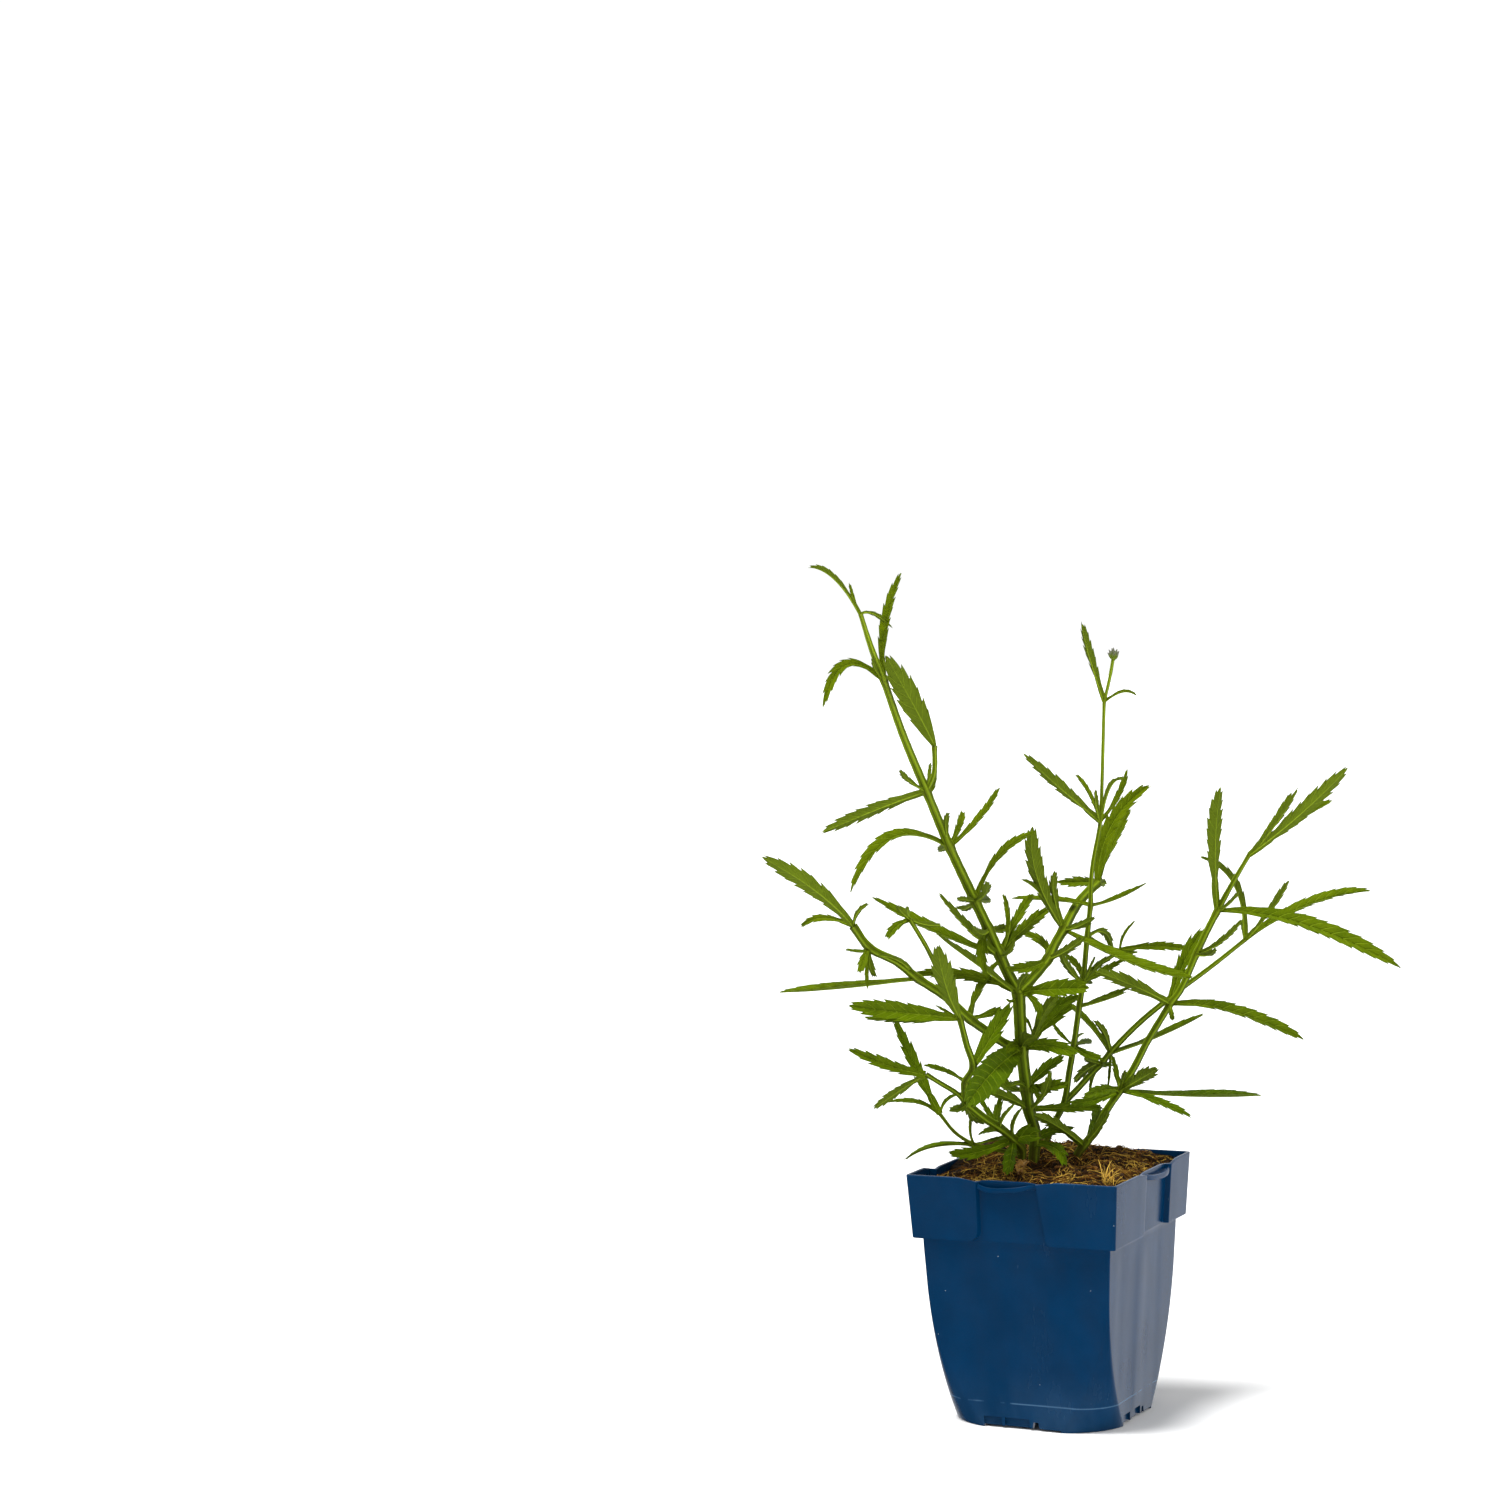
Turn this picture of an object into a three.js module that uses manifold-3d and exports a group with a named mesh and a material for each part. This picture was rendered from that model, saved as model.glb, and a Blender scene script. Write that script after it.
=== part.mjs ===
// Young lollipop verbena in a square nursery pot. Millimetres, +Z up, origin at the middle of the base.
import * as THREE from "three";
import { mergeVertices } from "three/addons/utils/BufferGeometryUtils.js";
import Module from "manifold-3d";

const wasm = await Module();
wasm.setup();
const UPWARDS = new THREE.Vector3(0, 0, 1);

// Driving dimensions of the pot
const POT_HEIGHT = 125;
const RIM_HALF = 55;
const COLLAR_HEIGHT = 31.8;
const COLLAR_FOOT_HALF = 53;
const COLLAR_CORNER = 1.5;
const CORNER_CUT = 1 - Math.SQRT1_2;
const WALL = 1.4;
const BODY_TOP_HALF = 49;
const BODY_BASE_HALF = 43.8;
const CORNER_TOP_REACH = 48.2;
const CORNER_BASE_REACH = 20;
const CORNER_CURVE = 2.5;
const CORNER_ROUNDNESS = 0.7;
const CORNER_LEAST = 0.5;
const ARC_STEPS = 4;
const BAY_INSET = 2.8;
const BAY_SLOPE = 0.8;
const LIP_MARGIN = 0.6;
const LIP_BULGE = 1.65;
const LIP_FALL = 1.45;
const LIP_THICKNESS = 2;
const LIP_STEPS = 8;
const LIP_FULLNESS = 3;
const LIP_DROP = 0.4;
const LIP_ROOT = 0.5;
const FLOOR_UNDERSIDE = 5;
const FLOOR_THICKNESS = 1.6;
const FOOT_WALL = 2.6;
const HUB_RADIUS = 4.5;
const HUB_SIDES = 12;
const NOTCH_NEAR = 5;
const NOTCH_FAR = 9.5;
const NOTCH_TAPER = 1;
const NOTCH_HEIGHT = 4.2;
const FOOT_ARCH_HALF = 20.5;
const FOOT_ARCH_HEIGHT = 1.2;
const REBATES = [
  [-20.5, -10.4],
  [-9.4, 4.2],
];
const REBATE_HEIGHT = 5.5;
const REBATE_DEPTH = 0.8;
const DRAIN_RADIUS = 3;
const DRAIN_CIRCLE = 27;
const DRAIN_SIDES = 10;
const BODY_LEVELS = [12, 24, 40, 60];

// The bays of the front and the right side, which the back and the left side repeat: where each starts
// and ends along its side, at the collar's foot and at the rim, and how far its lip stands out at both ends
const BAYS = [
  { start: [-17.8, -17.8], end: [17.8, 13.2], lipEnds: [2, 0.4] },
  { start: [-10.8, -10.4], end: [25, 25.4], lipEnds: [0.4, 2] },
];

// Driving dimensions of the soil
const CLEARANCE = 0.35;
const SOIL_EDGE = 119.6;
const SOIL_MOUND = 6.6;
const SOIL_RINGS = [0.995, 0.9, 0.72, 0.5, 0.25];
const SOIL_CRUMB = 0.55;
const SOIL_HEAP = 5.2;
const HEAP_SLANT = 0.6;
const HEAP_FROM = 12;
const HEAP_TO = 42;
const HOLE_MARGIN = 0.5;
const HOLE_SIDES = 10;
const FOOT_DEPTH = 112;

// The plant is described as a viewer sees it: x to the right and z up, on the upright plane through the
// pot's axis that faces the viewer, and a depth away from the viewer, along the line of sight.
const EYE_DISTANCE = 1743;
const EYE_HEIGHT = 418;
const PLANT_TURN = THREE.MathUtils.degToRad(21.28);

// Driving dimensions of the leaves
const BLADE_THICKNESS = 0.7;
const BLADE_FOLD = 0.26;
const BROADEST = 11;
const SLENDERNESS = 0.135;
const TOOTH_LEAN = 0.035;
const STEM_STEP = 15;
const SLIVER = 0.06;

// Stations along a blade: how far along it, its half width there, and whether a tooth points from it
const LARGE_BLADE = [
  [0, 0.5, 0],
  [0.18, 0.62, 0],
  [0.33, 0.9, 1],
  [0.38, 0.76, 0],
  [0.47, 1, 1],
  [0.52, 0.86, 0],
  [0.61, 1, 1],
  [0.66, 0.86, 0],
  [0.75, 0.9, 1],
  [0.8, 0.72, 0],
  [1, 0.06, 0],
];
const MIDDLE_BLADE = [
  [0, 0.5, 0],
  [0.22, 0.64, 0],
  [0.45, 0.96, 1],
  [0.5, 0.78, 0],
  [0.67, 1, 1],
  [0.72, 0.82, 0],
  [1, 0.07, 0],
];
const SMALL_BLADE = [
  [0, 0.5, 0],
  [0.33, 0.8, 0],
  [0.66, 1, 0],
  [1, 0.1, 0],
];
const LARGE_FROM = 6.5;
const MIDDLE_FROM = 3.2;

// Each leafy stem has branches and leaves. A branch has its width at both ends and the points it runs
// through, as x, z, depth. Leaves grow from a point, and each is listed as the x and z of its middle,
// the x, z and depth of its tip, and the width that the viewer sees.
const LEAFY_STEMS = {
  leafy_stem_middle: {
    branches: [
      { width: [4.6, 5.6], foot: true,
        path: [
          [-8, 127, 0], [-7, 139.5, 0], [-10, 152, -1], [-11, 162, -2], [-13, 182, -3], [-14, 210.5, -4]] },
      { width: [5, 4.4],
        path: [
          [-14, 210.5, -4], [-19.5, 221, -6], [-23, 229.5, -8], [-28.5, 242.5, -11], [-35, 257, -15]] },
      { width: [4.4, 3],
        path: [
          [-35, 257, -15], [-47, 284, -22], [-58, 312, -27], [-69, 340, -33], [-78, 367.5, -37]] },
      { width: [3.2, 1.8], path: [[-78, 367.5, -37], [-84, 384, -39], [-89, 401, -40]] },
      { width: [4.4, 4],
        path: [
          [-14, 210.5, -4], [-8.5, 216, 0], [1, 227.5, 8], [4.5, 234.5, 13], [9, 242, 18], [16.5, 255, 30],
          [26, 265, 38]] },
      { width: [4, 3.4],
        path: [
          [-13, 182, -3], [-21, 185, -8], [-29, 190.5, -15], [-38.5, 197.5, -23], [-50, 208.5, -31],
          [-64.5, 218.5, -38], [-75, 227, -44], [-88, 234, -48], [-96, 245, -51]] },
      { width: [2.4, 2], path: [[-13, 182, -3], [-10, 186, 3], [-7, 187.5, 6]] },
      { width: [2.2, 2.2], path: [[-58, 312, -27], [-54, 321, -29], [-53.5, 334.5, -31]] },
    ],
    leaves: [
      { from: [-8.5, 134.5, 0], blades: [[2.5, 132.5, 7.5, 124, -24, 6.8], [-0.5, 140.5, 12, 142, 12, 6]] },
      { from: [-10, 152, -1], blades: [
        [7, 152.5, 26.5, 152.5, 19, 5.6], [-19, 157.5, -30, 161.5, -14, 6.2],
        [-3, 159, 1, 171.5, -26, 4.4]] },
      { from: [-11, 162, -2], blades: [
        [-3, 171, 8, 178.5, 16, 6.6], [-19, 163, -24, 169, 20, 6.2], [-1, 163, 9, 164.5, -24, 7.2],
        [-14.5, 165, -19.5, 163.5, -15, 3.4], [-8, 162.5, -5, 157, -14, 3.8]] },
      { from: [-13, 182, -3], blades: [
        [-1, 184, 14.5, 179.5, -20, 8], [-26, 172.5, -41, 153.5, -68, 15.8],
        [-16, 184.5, -20.5, 181, -18, 6], [-10.5, 187.5, -6.5, 188.5, -22, 8.6]] },
      { from: [-7, 187.5, 6], blades: [
        [-2, 200, 5, 209, -10, 6.6], [2, 197, 12.5, 204.5, 14, 7.6], [3.5, 202, 18, 208.5, 30, 6],
        [-9, 194.5, -12.5, 200, 10, 1.6]] },
      { from: [-14, 210.5, -4], blades: [
        [-38, 219.5, -67, 220.5, 8, 6.8], [4, 212.5, 21, 212.5, -26, 9.4], [-6, 206, -4, 197, -24, 4.4],
        [-34.5, 226.5, -54.5, 241.5, -32, 2], [-17, 206.5, -20, 207.5, -12, 2],
        [-12.5, 217, -9, 220, -28, 4]] },
      { from: [-38.5, 197.5, -23], blades: [
        [-28, 200.5, -22.5, 202.5, -12, 4.6], [-34, 212.5, -22, 228, 12, 4.6]] },
      { from: [-64.5, 218.5, -38], blades: [
        [-99, 216, -133.5, 212.5, -46, 2.6], [-72.5, 227.5, -83.5, 230.5, -52, 1.8]] },
      { from: [-88, 234, -48], blades: [
        [-91, 228.5, -93, 221.5, -66, 4.6], [-88, 226.5, -85.5, 219.5, -40, 4],
        [-89.5, 225, -89.5, 214, -52, 2.4], [-92.5, 232.5, -100, 233.5, -30, 1.6]] },
      { from: [-96, 245, -51], blades: [
        [-115, 264, -141, 280.5, -62, 9.2], [-111.5, 249.5, -122, 245, -42, 4],
        [-93.5, 252, -88.5, 256, -58, 2.8]] },
      { from: [-23, 229.5, -8], blades: [
        [-52, 241.5, -86, 259.5, 6, 5.4], [-19, 230.5, -15.5, 237, -30, 2.6],
        [-18.5, 245.5, -21, 260, 8, 2.6], [-38, 243.5, -52.5, 261, -32, 4.2], [-14, 248, -6, 260, 18, 5.4],
        [-10.5, 243, 2, 252.5, 28, 6.8]] },
      { from: [-28.5, 242.5, -11], blades: [
        [-32.5, 240.5, -36.5, 244, -44, 4.6], [-32, 233.5, -30.5, 221, -30, 6.4],
        [-23, 242.5, -17, 243.5, 14, 5.2]] },
      { from: [-35, 257, -15], blades: [
        [-22, 280, -4.5, 290.5, -4, 4.4], [-38.5, 257.5, -44, 258, -40, 3.6],
        [-38.5, 253.5, -44, 253.5, 6, 4], [-30, 261, -29, 266.5, -54, 4.4],
        [-30.5, 257.5, -27, 257.5, 22, 5]] },
      { from: [-47, 284, -22], blades: [
        [-32.5, 298, -22, 313, -10, 4], [-76, 290, -97, 262, -42, 4.8], [-48.5, 295, -47, 301, -34, 3.2],
        [-42, 294.5, -40.5, 301.5, -8, 4.2], [-49.5, 284, -52.5, 281.5, 14, 4]] },
      { from: [-53.5, 334.5, -31], blades: [[-63, 354, -77, 380, -46, 12.4]] },
      { from: [-58, 312, -27], blades: [
        [-83.5, 303.5, -110.5, 292.5, -14, 7.2], [-66.5, 317.5, -71, 323, -46, 3.2],
        [-56.5, 319.5, -56, 326, -8, 2], [-54.5, 314.5, -53.5, 329.5, -20, 2.6]] },
      { from: [-78, 367.5, -37], blades: [
        [-77, 396, -68.5, 421, -28, 5.2], [-97, 376, -108.5, 355, -52, 5.2],
        [-82, 373.5, -83.5, 379, -48, 2]] },
      { from: [-89, 401, -40], blades: [
        [-101.5, 419.5, -113.5, 425, -46, 2.6], [-92.5, 409.5, -94, 416, -32, 1.6],
        [-82.5, 401, -74, 394.5, -32, 2.6]] },
      { from: [1, 227.5, 8], blades: [
        [-7.5, 223.5, -19.5, 222.5, -18, 6.4], [-2, 236, -13.5, 241, 30, 5.2],
        [10, 231.5, 19, 238, -10, 5.2]] },
      { from: [9, 242, 18], blades: [
        [-3.5, 269, -5.5, 293.5, 6, 9], [4.5, 260, 5.5, 270.5, 12, 4.8], [16, 243.5, 24, 247.5, 2, 4.6],
        [-1.5, 260, -11, 267, 12, 2.6], [40, 227, 72, 217, -14, 5.4]] },
      { from: [26, 265, 38], blades: [
        [33.5, 294, 52.5, 313, 48, 8.4], [33, 283, 43, 301, 66, 5], [19, 265.5, 6, 265.5, 62, 6.2],
        [27.5, 265, 30.5, 265.5, 68, 5.2]] },
    ],
  },
  leafy_stem_bud: {
    branches: [
      { width: [3.2, 2.7], foot: true,
        path: [
          [-2.5, 131.5, 25], [-1, 137, 26], [2, 144, 25], [7.5, 155, 22], [10.5, 171, 21], [13, 184, 20]] },
      { width: [2.7, 2.3],
        path: [
          [13, 184, 20], [16, 203.5, 20], [18, 215, 20], [20.5, 238, 20], [22.5, 254, 20]] },
      { width: [2.1, 1.5],
        path: [
          [22.5, 254, 20], [23.5, 271.5, 21], [27, 289.5, 22], [28, 295.5, 22], [31, 355, 24]] },
      { width: [1.5, 1.5], path: [[31, 355, 24], [34, 367, 25], [36, 377.5, 25]] },
      { width: [2.8, 2.4],
        path: [
          [7.5, 155, 22], [14, 161.5, 26], [20.5, 168.5, 29], [26.5, 174.5, 31], [31, 180, 33],
          [46, 195, 36], [66, 211, 38]] },
      { width: [2.2, 1.8], path: [[66, 211, 38], [82.5, 223, 38], [98.5, 235.5, 38]] },
      { width: [2, 1.4], path: [[20.5, 238, 20], [28.5, 233.5, 26], [36.5, 231, 30]] },
    ],
    leaves: [
      { from: [13, 184, 20], blades: [
        [18, 185.5, 22, 186, 50, 3.8], [15, 188.5, 18, 190, 34, 1.4], [18, 180, 27.5, 176.5, 6, 4.6],
        [7, 189, 2, 196, 34, 2.4]] },
      { from: [16, 203.5, 20], blades: [[27, 207, 41.5, 212.5, 40, 3], [25.5, 206, 38.5, 210, 8, 1.4]] },
      { from: [18, 215, 20], blades: [
        [11.5, 222, 7, 230.5, 4, 4.6], [15.5, 223.5, 8.5, 230, 40, 4], [24, 222.5, 35.5, 229.5, 12, 3.8],
        [25.5, 219.5, 40.5, 227.5, 42, 4], [21, 221.5, 24, 228, 12, 1.6], [20, 215.5, 23, 215, 38, 2.6]] },
      { from: [20.5, 238, 20], blades: [[28.5, 240.5, 33, 230.5, 40, 4.4]] },
      { from: [36.5, 231, 30], blades: [
        [38.5, 238.5, 44, 245.5, 36, 1.6], [55, 233, 71.5, 231, 44, 5], [41, 230, 45, 230, 18, 2.2]] },
      { from: [22.5, 254, 20], blades: [[35, 257.5, 50, 264.5, 32, 2.2], [4, 257.5, -16.5, 258, 36, 2.8]] },
      { from: [28, 295.5, 22], blades: [
        [10, 312, -9.5, 330, 8, 6.2], [23, 309.5, 16.5, 319, 34, 2.6], [26.5, 304, 26, 311, 8, 2.4],
        [27, 301, 24, 305, 34, 1.8], [37, 308, 41.5, 320.5, 36, 3.6], [33, 313.5, 40, 316, 12, 1.6]] },
      { from: [31, 355, 24], blades: [[25, 376.5, 21, 393.5, 14, 4.6], [40, 360, 47, 358, 32, 1.4]] },
      { from: [26.5, 174.5, 31], blades: [
        [21, 176, 18, 177.5, 12, 3.4], [20, 172.5, 12.5, 165, 48, 5.2], [27.5, 174, 31.5, 173.5, 14, 3.4],
        [22, 168, 20.5, 159.5, 40, 1.6]] },
      { from: [31, 180, 33], blades: [
        [17.5, 198.5, 2, 210, 50, 3.2], [28.5, 189.5, 23.5, 196, 22, 4], [55, 189, 77, 198.5, 48, 2.6],
        [30.5, 172, 29.5, 163, 30, 1.6]] },
      { from: [98.5, 235.5, 38], blades: [
        [94, 263.5, 77.5, 277, 32, 4], [129, 253.5, 160, 259, 48, 5.2], [111, 250.5, 120, 264.5, 30, 3.6],
        [97.5, 241, 98, 246.5, 58, 2.4]] },
    ],
    buds: [36, 376, 25],
  },
  leafy_stem_right: {
    branches: [
      { width: [4, 3.3], foot: true,
        path: [
          [13.5, 128, 10], [17, 133.5, 10], [23, 140.5, 9], [28, 150, 8], [35.5, 161, 8]] },
      { width: [3.3, 3], path: [[35.5, 161, 8], [43, 173, 9], [49, 184.5, 11], [61, 204, 14]] },
      { width: [3, 3],
        path: [
          [61, 204, 14], [66, 210.5, 15], [74.5, 229, 16], [80, 240.5, 17], [85, 250, 18]] },
      { width: [2.8, 1.8], path: [[85, 250, 18], [92, 262.5, 18], [101, 277.5, 18]] },
    ],
    leaves: [
      { from: [17, 133.5, 10], blades: [
        [3.5, 144, -7, 149, -18, 6.8], [23, 145, 24, 154, 40, 6.6], [23.5, 141.5, 29.5, 151, 2, 4.8]] },
      { from: [35.5, 161, 8], blades: [
        [71, 159.5, 105, 158, 22, 2.4], [54, 155.5, 70, 147.5, -10, 4.4], [45.5, 167, 54, 172, -24, 8],
        [37, 167, 38, 171, -10, 2.6], [34, 168.5, 32, 178.5, 22, 3.4], [28, 161.5, 17.5, 158, -20, 6],
        [23.5, 156.5, 10.5, 155, -10, 5.2]] },
      { from: [61, 204, 14], blades: [
        [43.5, 213.5, 24, 221, -2, 7.6], [67.5, 224, 77, 240.5, 30, 7.6],
        [93.5, 200.5, 126.5, 185.5, 22, 6.4], [61.5, 199, 62, 196, -6, 3]] },
      { from: [74.5, 229, 16], blades: [[86.5, 235, 97, 245.5, -2, 3.4], [80, 228.5, 84, 231.5, -12, 3]] },
      { from: [85, 250, 18], blades: [
        [84, 284.5, 87.5, 311.5, 8, 7.6], [127, 244, 174.5, 220.5, 6, 8.2], [92, 255, 96, 260.5, 2, 2]] },
      { from: [101, 277.5, 18], blades: [
        [126.5, 298, 150, 320, 8, 8.4], [121, 292.5, 142, 304, 30, 3.8], [113, 293, 122, 308, 26, 3.4],
        [114.5, 294, 125, 309.5, 12, 3.4]] },
    ],
  },
  leafy_stem_left: {
    branches: [
      { width: [4, 3.4], foot: true,
        path: [
          [-14, 127, -5], [-14, 132.5, -7.5], [-18, 137, -11.5], [-25, 143, -18], [-32, 147.5, -25],
          [-41.5, 155.5, -32]] },
      { width: [3.4, 2.6],
        path: [
          [-41.5, 155.5, -32], [-41.5, 166, -36], [-37.5, 173.5, -39], [-40.5, 185, -42],
          [-43.5, 198, -46]] },
      { width: [2.2, 1.8],
        path: [
          [-43.5, 198, -46], [-48, 210, -50], [-54, 222, -54], [-59, 233, -57], [-67.5, 248, -62]] },
      { width: [2.2, 2],
        path: [
          [-41.5, 155.5, -32], [-45.5, 160, -34], [-54, 165.5, -36], [-61, 170, -37]] },
      { width: [2.2, 1.7],
        path: [
          [-14.5, 130, -6], [-20, 130.5, -8], [-28, 132, -8], [-37.5, 134.5, -5], [-47, 140.5, -2],
          [-54.5, 150, 0]] },
    ],
    leaves: [
      { from: [-18, 137, -9.5], blades: [
        [-19.5, 129.5, -21.5, 119, -36, 7], [-35.5, 131, -50, 130, -26, 7],
        [-26.5, 142, -35.5, 139.5, 8, 3.6], [-18, 145.5, -13, 153.5, -28, 2.2],
        [-12, 139, -6.5, 138.5, -20, 10.2]] },
      { from: [-25, 143, -18], blades: [
        [-26, 149, -23.5, 159, 4, 4.8], [-30, 150.5, -35, 158.5, -2, 3.2],
        [-22.5, 149, -17, 155, -40, 2.4]] },
      { from: [-41.5, 155.5, -32], blades: [
        [-43.5, 153, -49.5, 152, -54, 5.2], [-38.5, 149.5, -32.5, 145, -2, 5.6]] },
      { from: [-41.5, 166, -36], blades: [[-50.5, 171.5, -62, 175, -18, 3]] },
      { from: [-37.5, 173.5, -39], blades: [[-28.5, 188.5, -18.5, 204.5, -27, 9]] },
      { from: [-43.5, 198, -46], blades: [
        [-71.5, 201.5, -99, 205, -62, 10], [-68, 198, -91, 199, -30, 5], [-50, 215, -54, 234.5, -68, 10.8],
        [-50, 201.5, -55, 204.5, -44, 1.6]] },
      { from: [-67.5, 248, -62], blades: [
        [-72, 252.5, -73.5, 255, -72, 2.8], [-68.5, 252, -68.5, 254.5, -44, 2.2],
        [-74.5, 244.5, -79, 239, -74, 4.8], [-60, 245.5, -52, 245, -50, 3]] },
      { from: [-61, 170, -37], blades: [
        [-77.5, 174, -99.5, 183.5, -50, 6.6], [-75.5, 161.5, -87.5, 153, -24, 5]] },
      { from: [-37.5, 134.5, -5], blades: [
        [-58, 134.5, -72, 127.5, 6, 1.8], [-39.5, 142.5, -38, 150.5, -10, 1.6],
        [-27, 137, -21, 138.5, 10, 2.4]] },
      { from: [-54.5, 150, 0], blades: [
        [-65, 171.5, -76.5, 198.5, 12, 7], [-66.5, 156.5, -79.5, 156.5, 16, 3],
        [-50.5, 157.5, -42, 161, 14, 1.8]] },
    ],
  },
};
const BUD_LENGTH = 5.4;
const BUD_WIDTH = 2;
const BUD_COUNT = 7;
const WITHERED_LEAF = { from: [-11.4, 126.3, -8], blade: [-14.5, 123.6, -16.4, 121.3, -27, 4.6] };

// Turns the viewer's x, z and depth into a point of the pot's own frame.
function place([x, z, depth]) {
  const spread = depth / EYE_DISTANCE;
  const point = new THREE.Vector3(x * (1 + spread), depth, z + (z - EYE_HEIGHT) * spread);
  return point.applyAxisAngle(UPWARDS, PLANT_TURN);
}

function towardsEye(point) {
  const eye = new THREE.Vector3(0, -EYE_DISTANCE, EYE_HEIGHT);
  eye.applyAxisAngle(UPWARDS, PLANT_TURN);
  return eye.sub(point).normalize();
}

function solidFrom(vertices, triangles) {
  const mesh = new wasm.Mesh({
    numProp: 3,
    vertProperties: new Float32Array(vertices.flatMap((v) => [v.x, v.y, v.z])),
    triVerts: new Uint32Array(triangles.flat()),
  });
  return new wasm.Manifold(mesh);
}

// A closed three.js geometry as a solid.
function solidOf(geometry) {
  const plain = geometry.clone();
  plain.deleteAttribute("normal");
  plain.deleteAttribute("uv");
  const merged = mergeVertices(plain, 1e-4);
  const mesh = new wasm.Mesh({
    numProp: 3,
    vertProperties: merged.getAttribute("position").array,
    triVerts: new Uint32Array(merged.index.array),
  });
  return new wasm.Manifold(mesh);
}

function meshOf(name, solid, material) {
  const { vertProperties, triVerts } = solid.getMesh();
  const geometry = new THREE.BufferGeometry();
  geometry.setAttribute("position", new THREE.BufferAttribute(new Float32Array(vertProperties), 3));
  geometry.setIndex(new THREE.BufferAttribute(new Uint32Array(triVerts), 1));
  geometry.computeVertexNormals();
  const mesh = new THREE.Mesh(geometry, material);
  mesh.name = name;
  return mesh;
}

// Rings of equal length, each a list of points that runs round counter-clockwise, joined and capped.
function loft(rings) {
  const count = rings[0].length;
  const vertices = rings.flat();
  const triangles = [];
  for (let ring = 0; ring + 1 < rings.length; ring++) {
    for (let i = 0; i < count; i++) {
      const a = ring * count + i;
      const b = ring * count + ((i + 1) % count);
      triangles.push([a, b, b + count], [a, b + count, a + count]);
    }
  }
  const cap = (ring, flip) => {
    const centre = rings[ring].reduce((sum, v) => sum.add(v), new THREE.Vector3()).divideScalar(count);
    const middle = vertices.push(centre) - 1;
    for (let i = 0; i < count; i++) {
      const a = ring * count + i;
      const b = ring * count + ((i + 1) % count);
      triangles.push(flip ? [b, a, middle] : [a, b, middle]);
    }
  };
  cap(0, true);
  cap(rings.length - 1, false);
  return solidFrom(vertices, triangles);
}

function box(low, high) {
  const geometry = new THREE.BoxGeometry(high[0] - low[0], high[1] - low[1], high[2] - low[2]);
  geometry.translate((low[0] + high[0]) / 2, (low[1] + high[1]) / 2, (low[2] + high[2]) / 2);
  return solidOf(geometry);
}

function upright(radius, low, high, x, y, sides) {
  const geometry = new THREE.CylinderGeometry(radius, radius, high - low, sides);
  geometry.rotateX(Math.PI / 2);
  geometry.translate(x, y, (low + high) / 2);
  return solidOf(geometry);
}

// The points of one side or two, repeated round the four sides of the pot from the front one on.
function fourSides(sides, z) {
  const ring = [];
  for (let quarter = 0; quarter < 4; quarter++) {
    const turn = (quarter * Math.PI) / 2;
    for (const [x, y] of sides[quarter % sides.length]) {
      ring.push(new THREE.Vector3(x, y, z).applyAxisAngle(UPWARDS, turn));
    }
  }
  return ring;
}

const BODY_HEIGHT = POT_HEIGHT - COLLAR_HEIGHT;

// The body is a square whose corners are cut by an arc that shrinks to nothing towards the collar.
function bodyRing(z, inset) {
  const rise = THREE.MathUtils.clamp(z / BODY_HEIGHT, 0, 1);
  const half = THREE.MathUtils.lerp(BODY_BASE_HALF, BODY_TOP_HALF, rise) - inset;
  const spread = 1 - (1 - rise) ** CORNER_CURVE;
  const wanted = THREE.MathUtils.lerp(CORNER_BASE_REACH, CORNER_TOP_REACH, spread);
  const reach = Math.min(wanted, half - CORNER_LEAST);
  const chamfered = (half + reach) / Math.SQRT2;
  const rounded = reach * Math.SQRT2 + half - reach;
  const extent = THREE.MathUtils.lerp(chamfered, rounded, CORNER_ROUNDNESS);
  const centre = (half ** 2 + reach ** 2 - extent ** 2) / (2 * (half + reach - Math.SQRT2 * extent));
  const radius = extent - centre * Math.SQRT2;
  const start = Math.acos((half - centre) / radius);
  const side = [];
  for (let step = 0; step <= ARC_STEPS; step++) {
    const angle = THREE.MathUtils.lerp(start, Math.PI / 2 - start, step / ARC_STEPS) - Math.PI / 2;
    side.push([centre + radius * Math.cos(angle), radius * Math.sin(angle) - centre]);
  }
  return fourSides([side], z);
}

// The collar is a square with a recessed bay in each side.
function collarRing(z, inset) {
  const rise = (z - BODY_HEIGHT) / COLLAR_HEIGHT;
  const half = THREE.MathUtils.lerp(COLLAR_FOOT_HALF, RIM_HALF, rise) - inset;
  const cut = COLLAR_CORNER * CORNER_CUT;
  const sides = BAYS.map(({ start, end }) => {
    const from = THREE.MathUtils.lerp(start[0], start[1], rise) - inset;
    const to = THREE.MathUtils.lerp(end[0], end[1], rise) + inset;
    return [
      [-half + COLLAR_CORNER, -half],
      [from, -half],
      [from + BAY_SLOPE, -half + BAY_INSET],
      [to - BAY_SLOPE, -half + BAY_INSET],
      [to, -half],
      [half - COLLAR_CORNER, -half],
      [half - cut, -half + cut],
    ];
  });
  return fourSides(sides, z);
}

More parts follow.
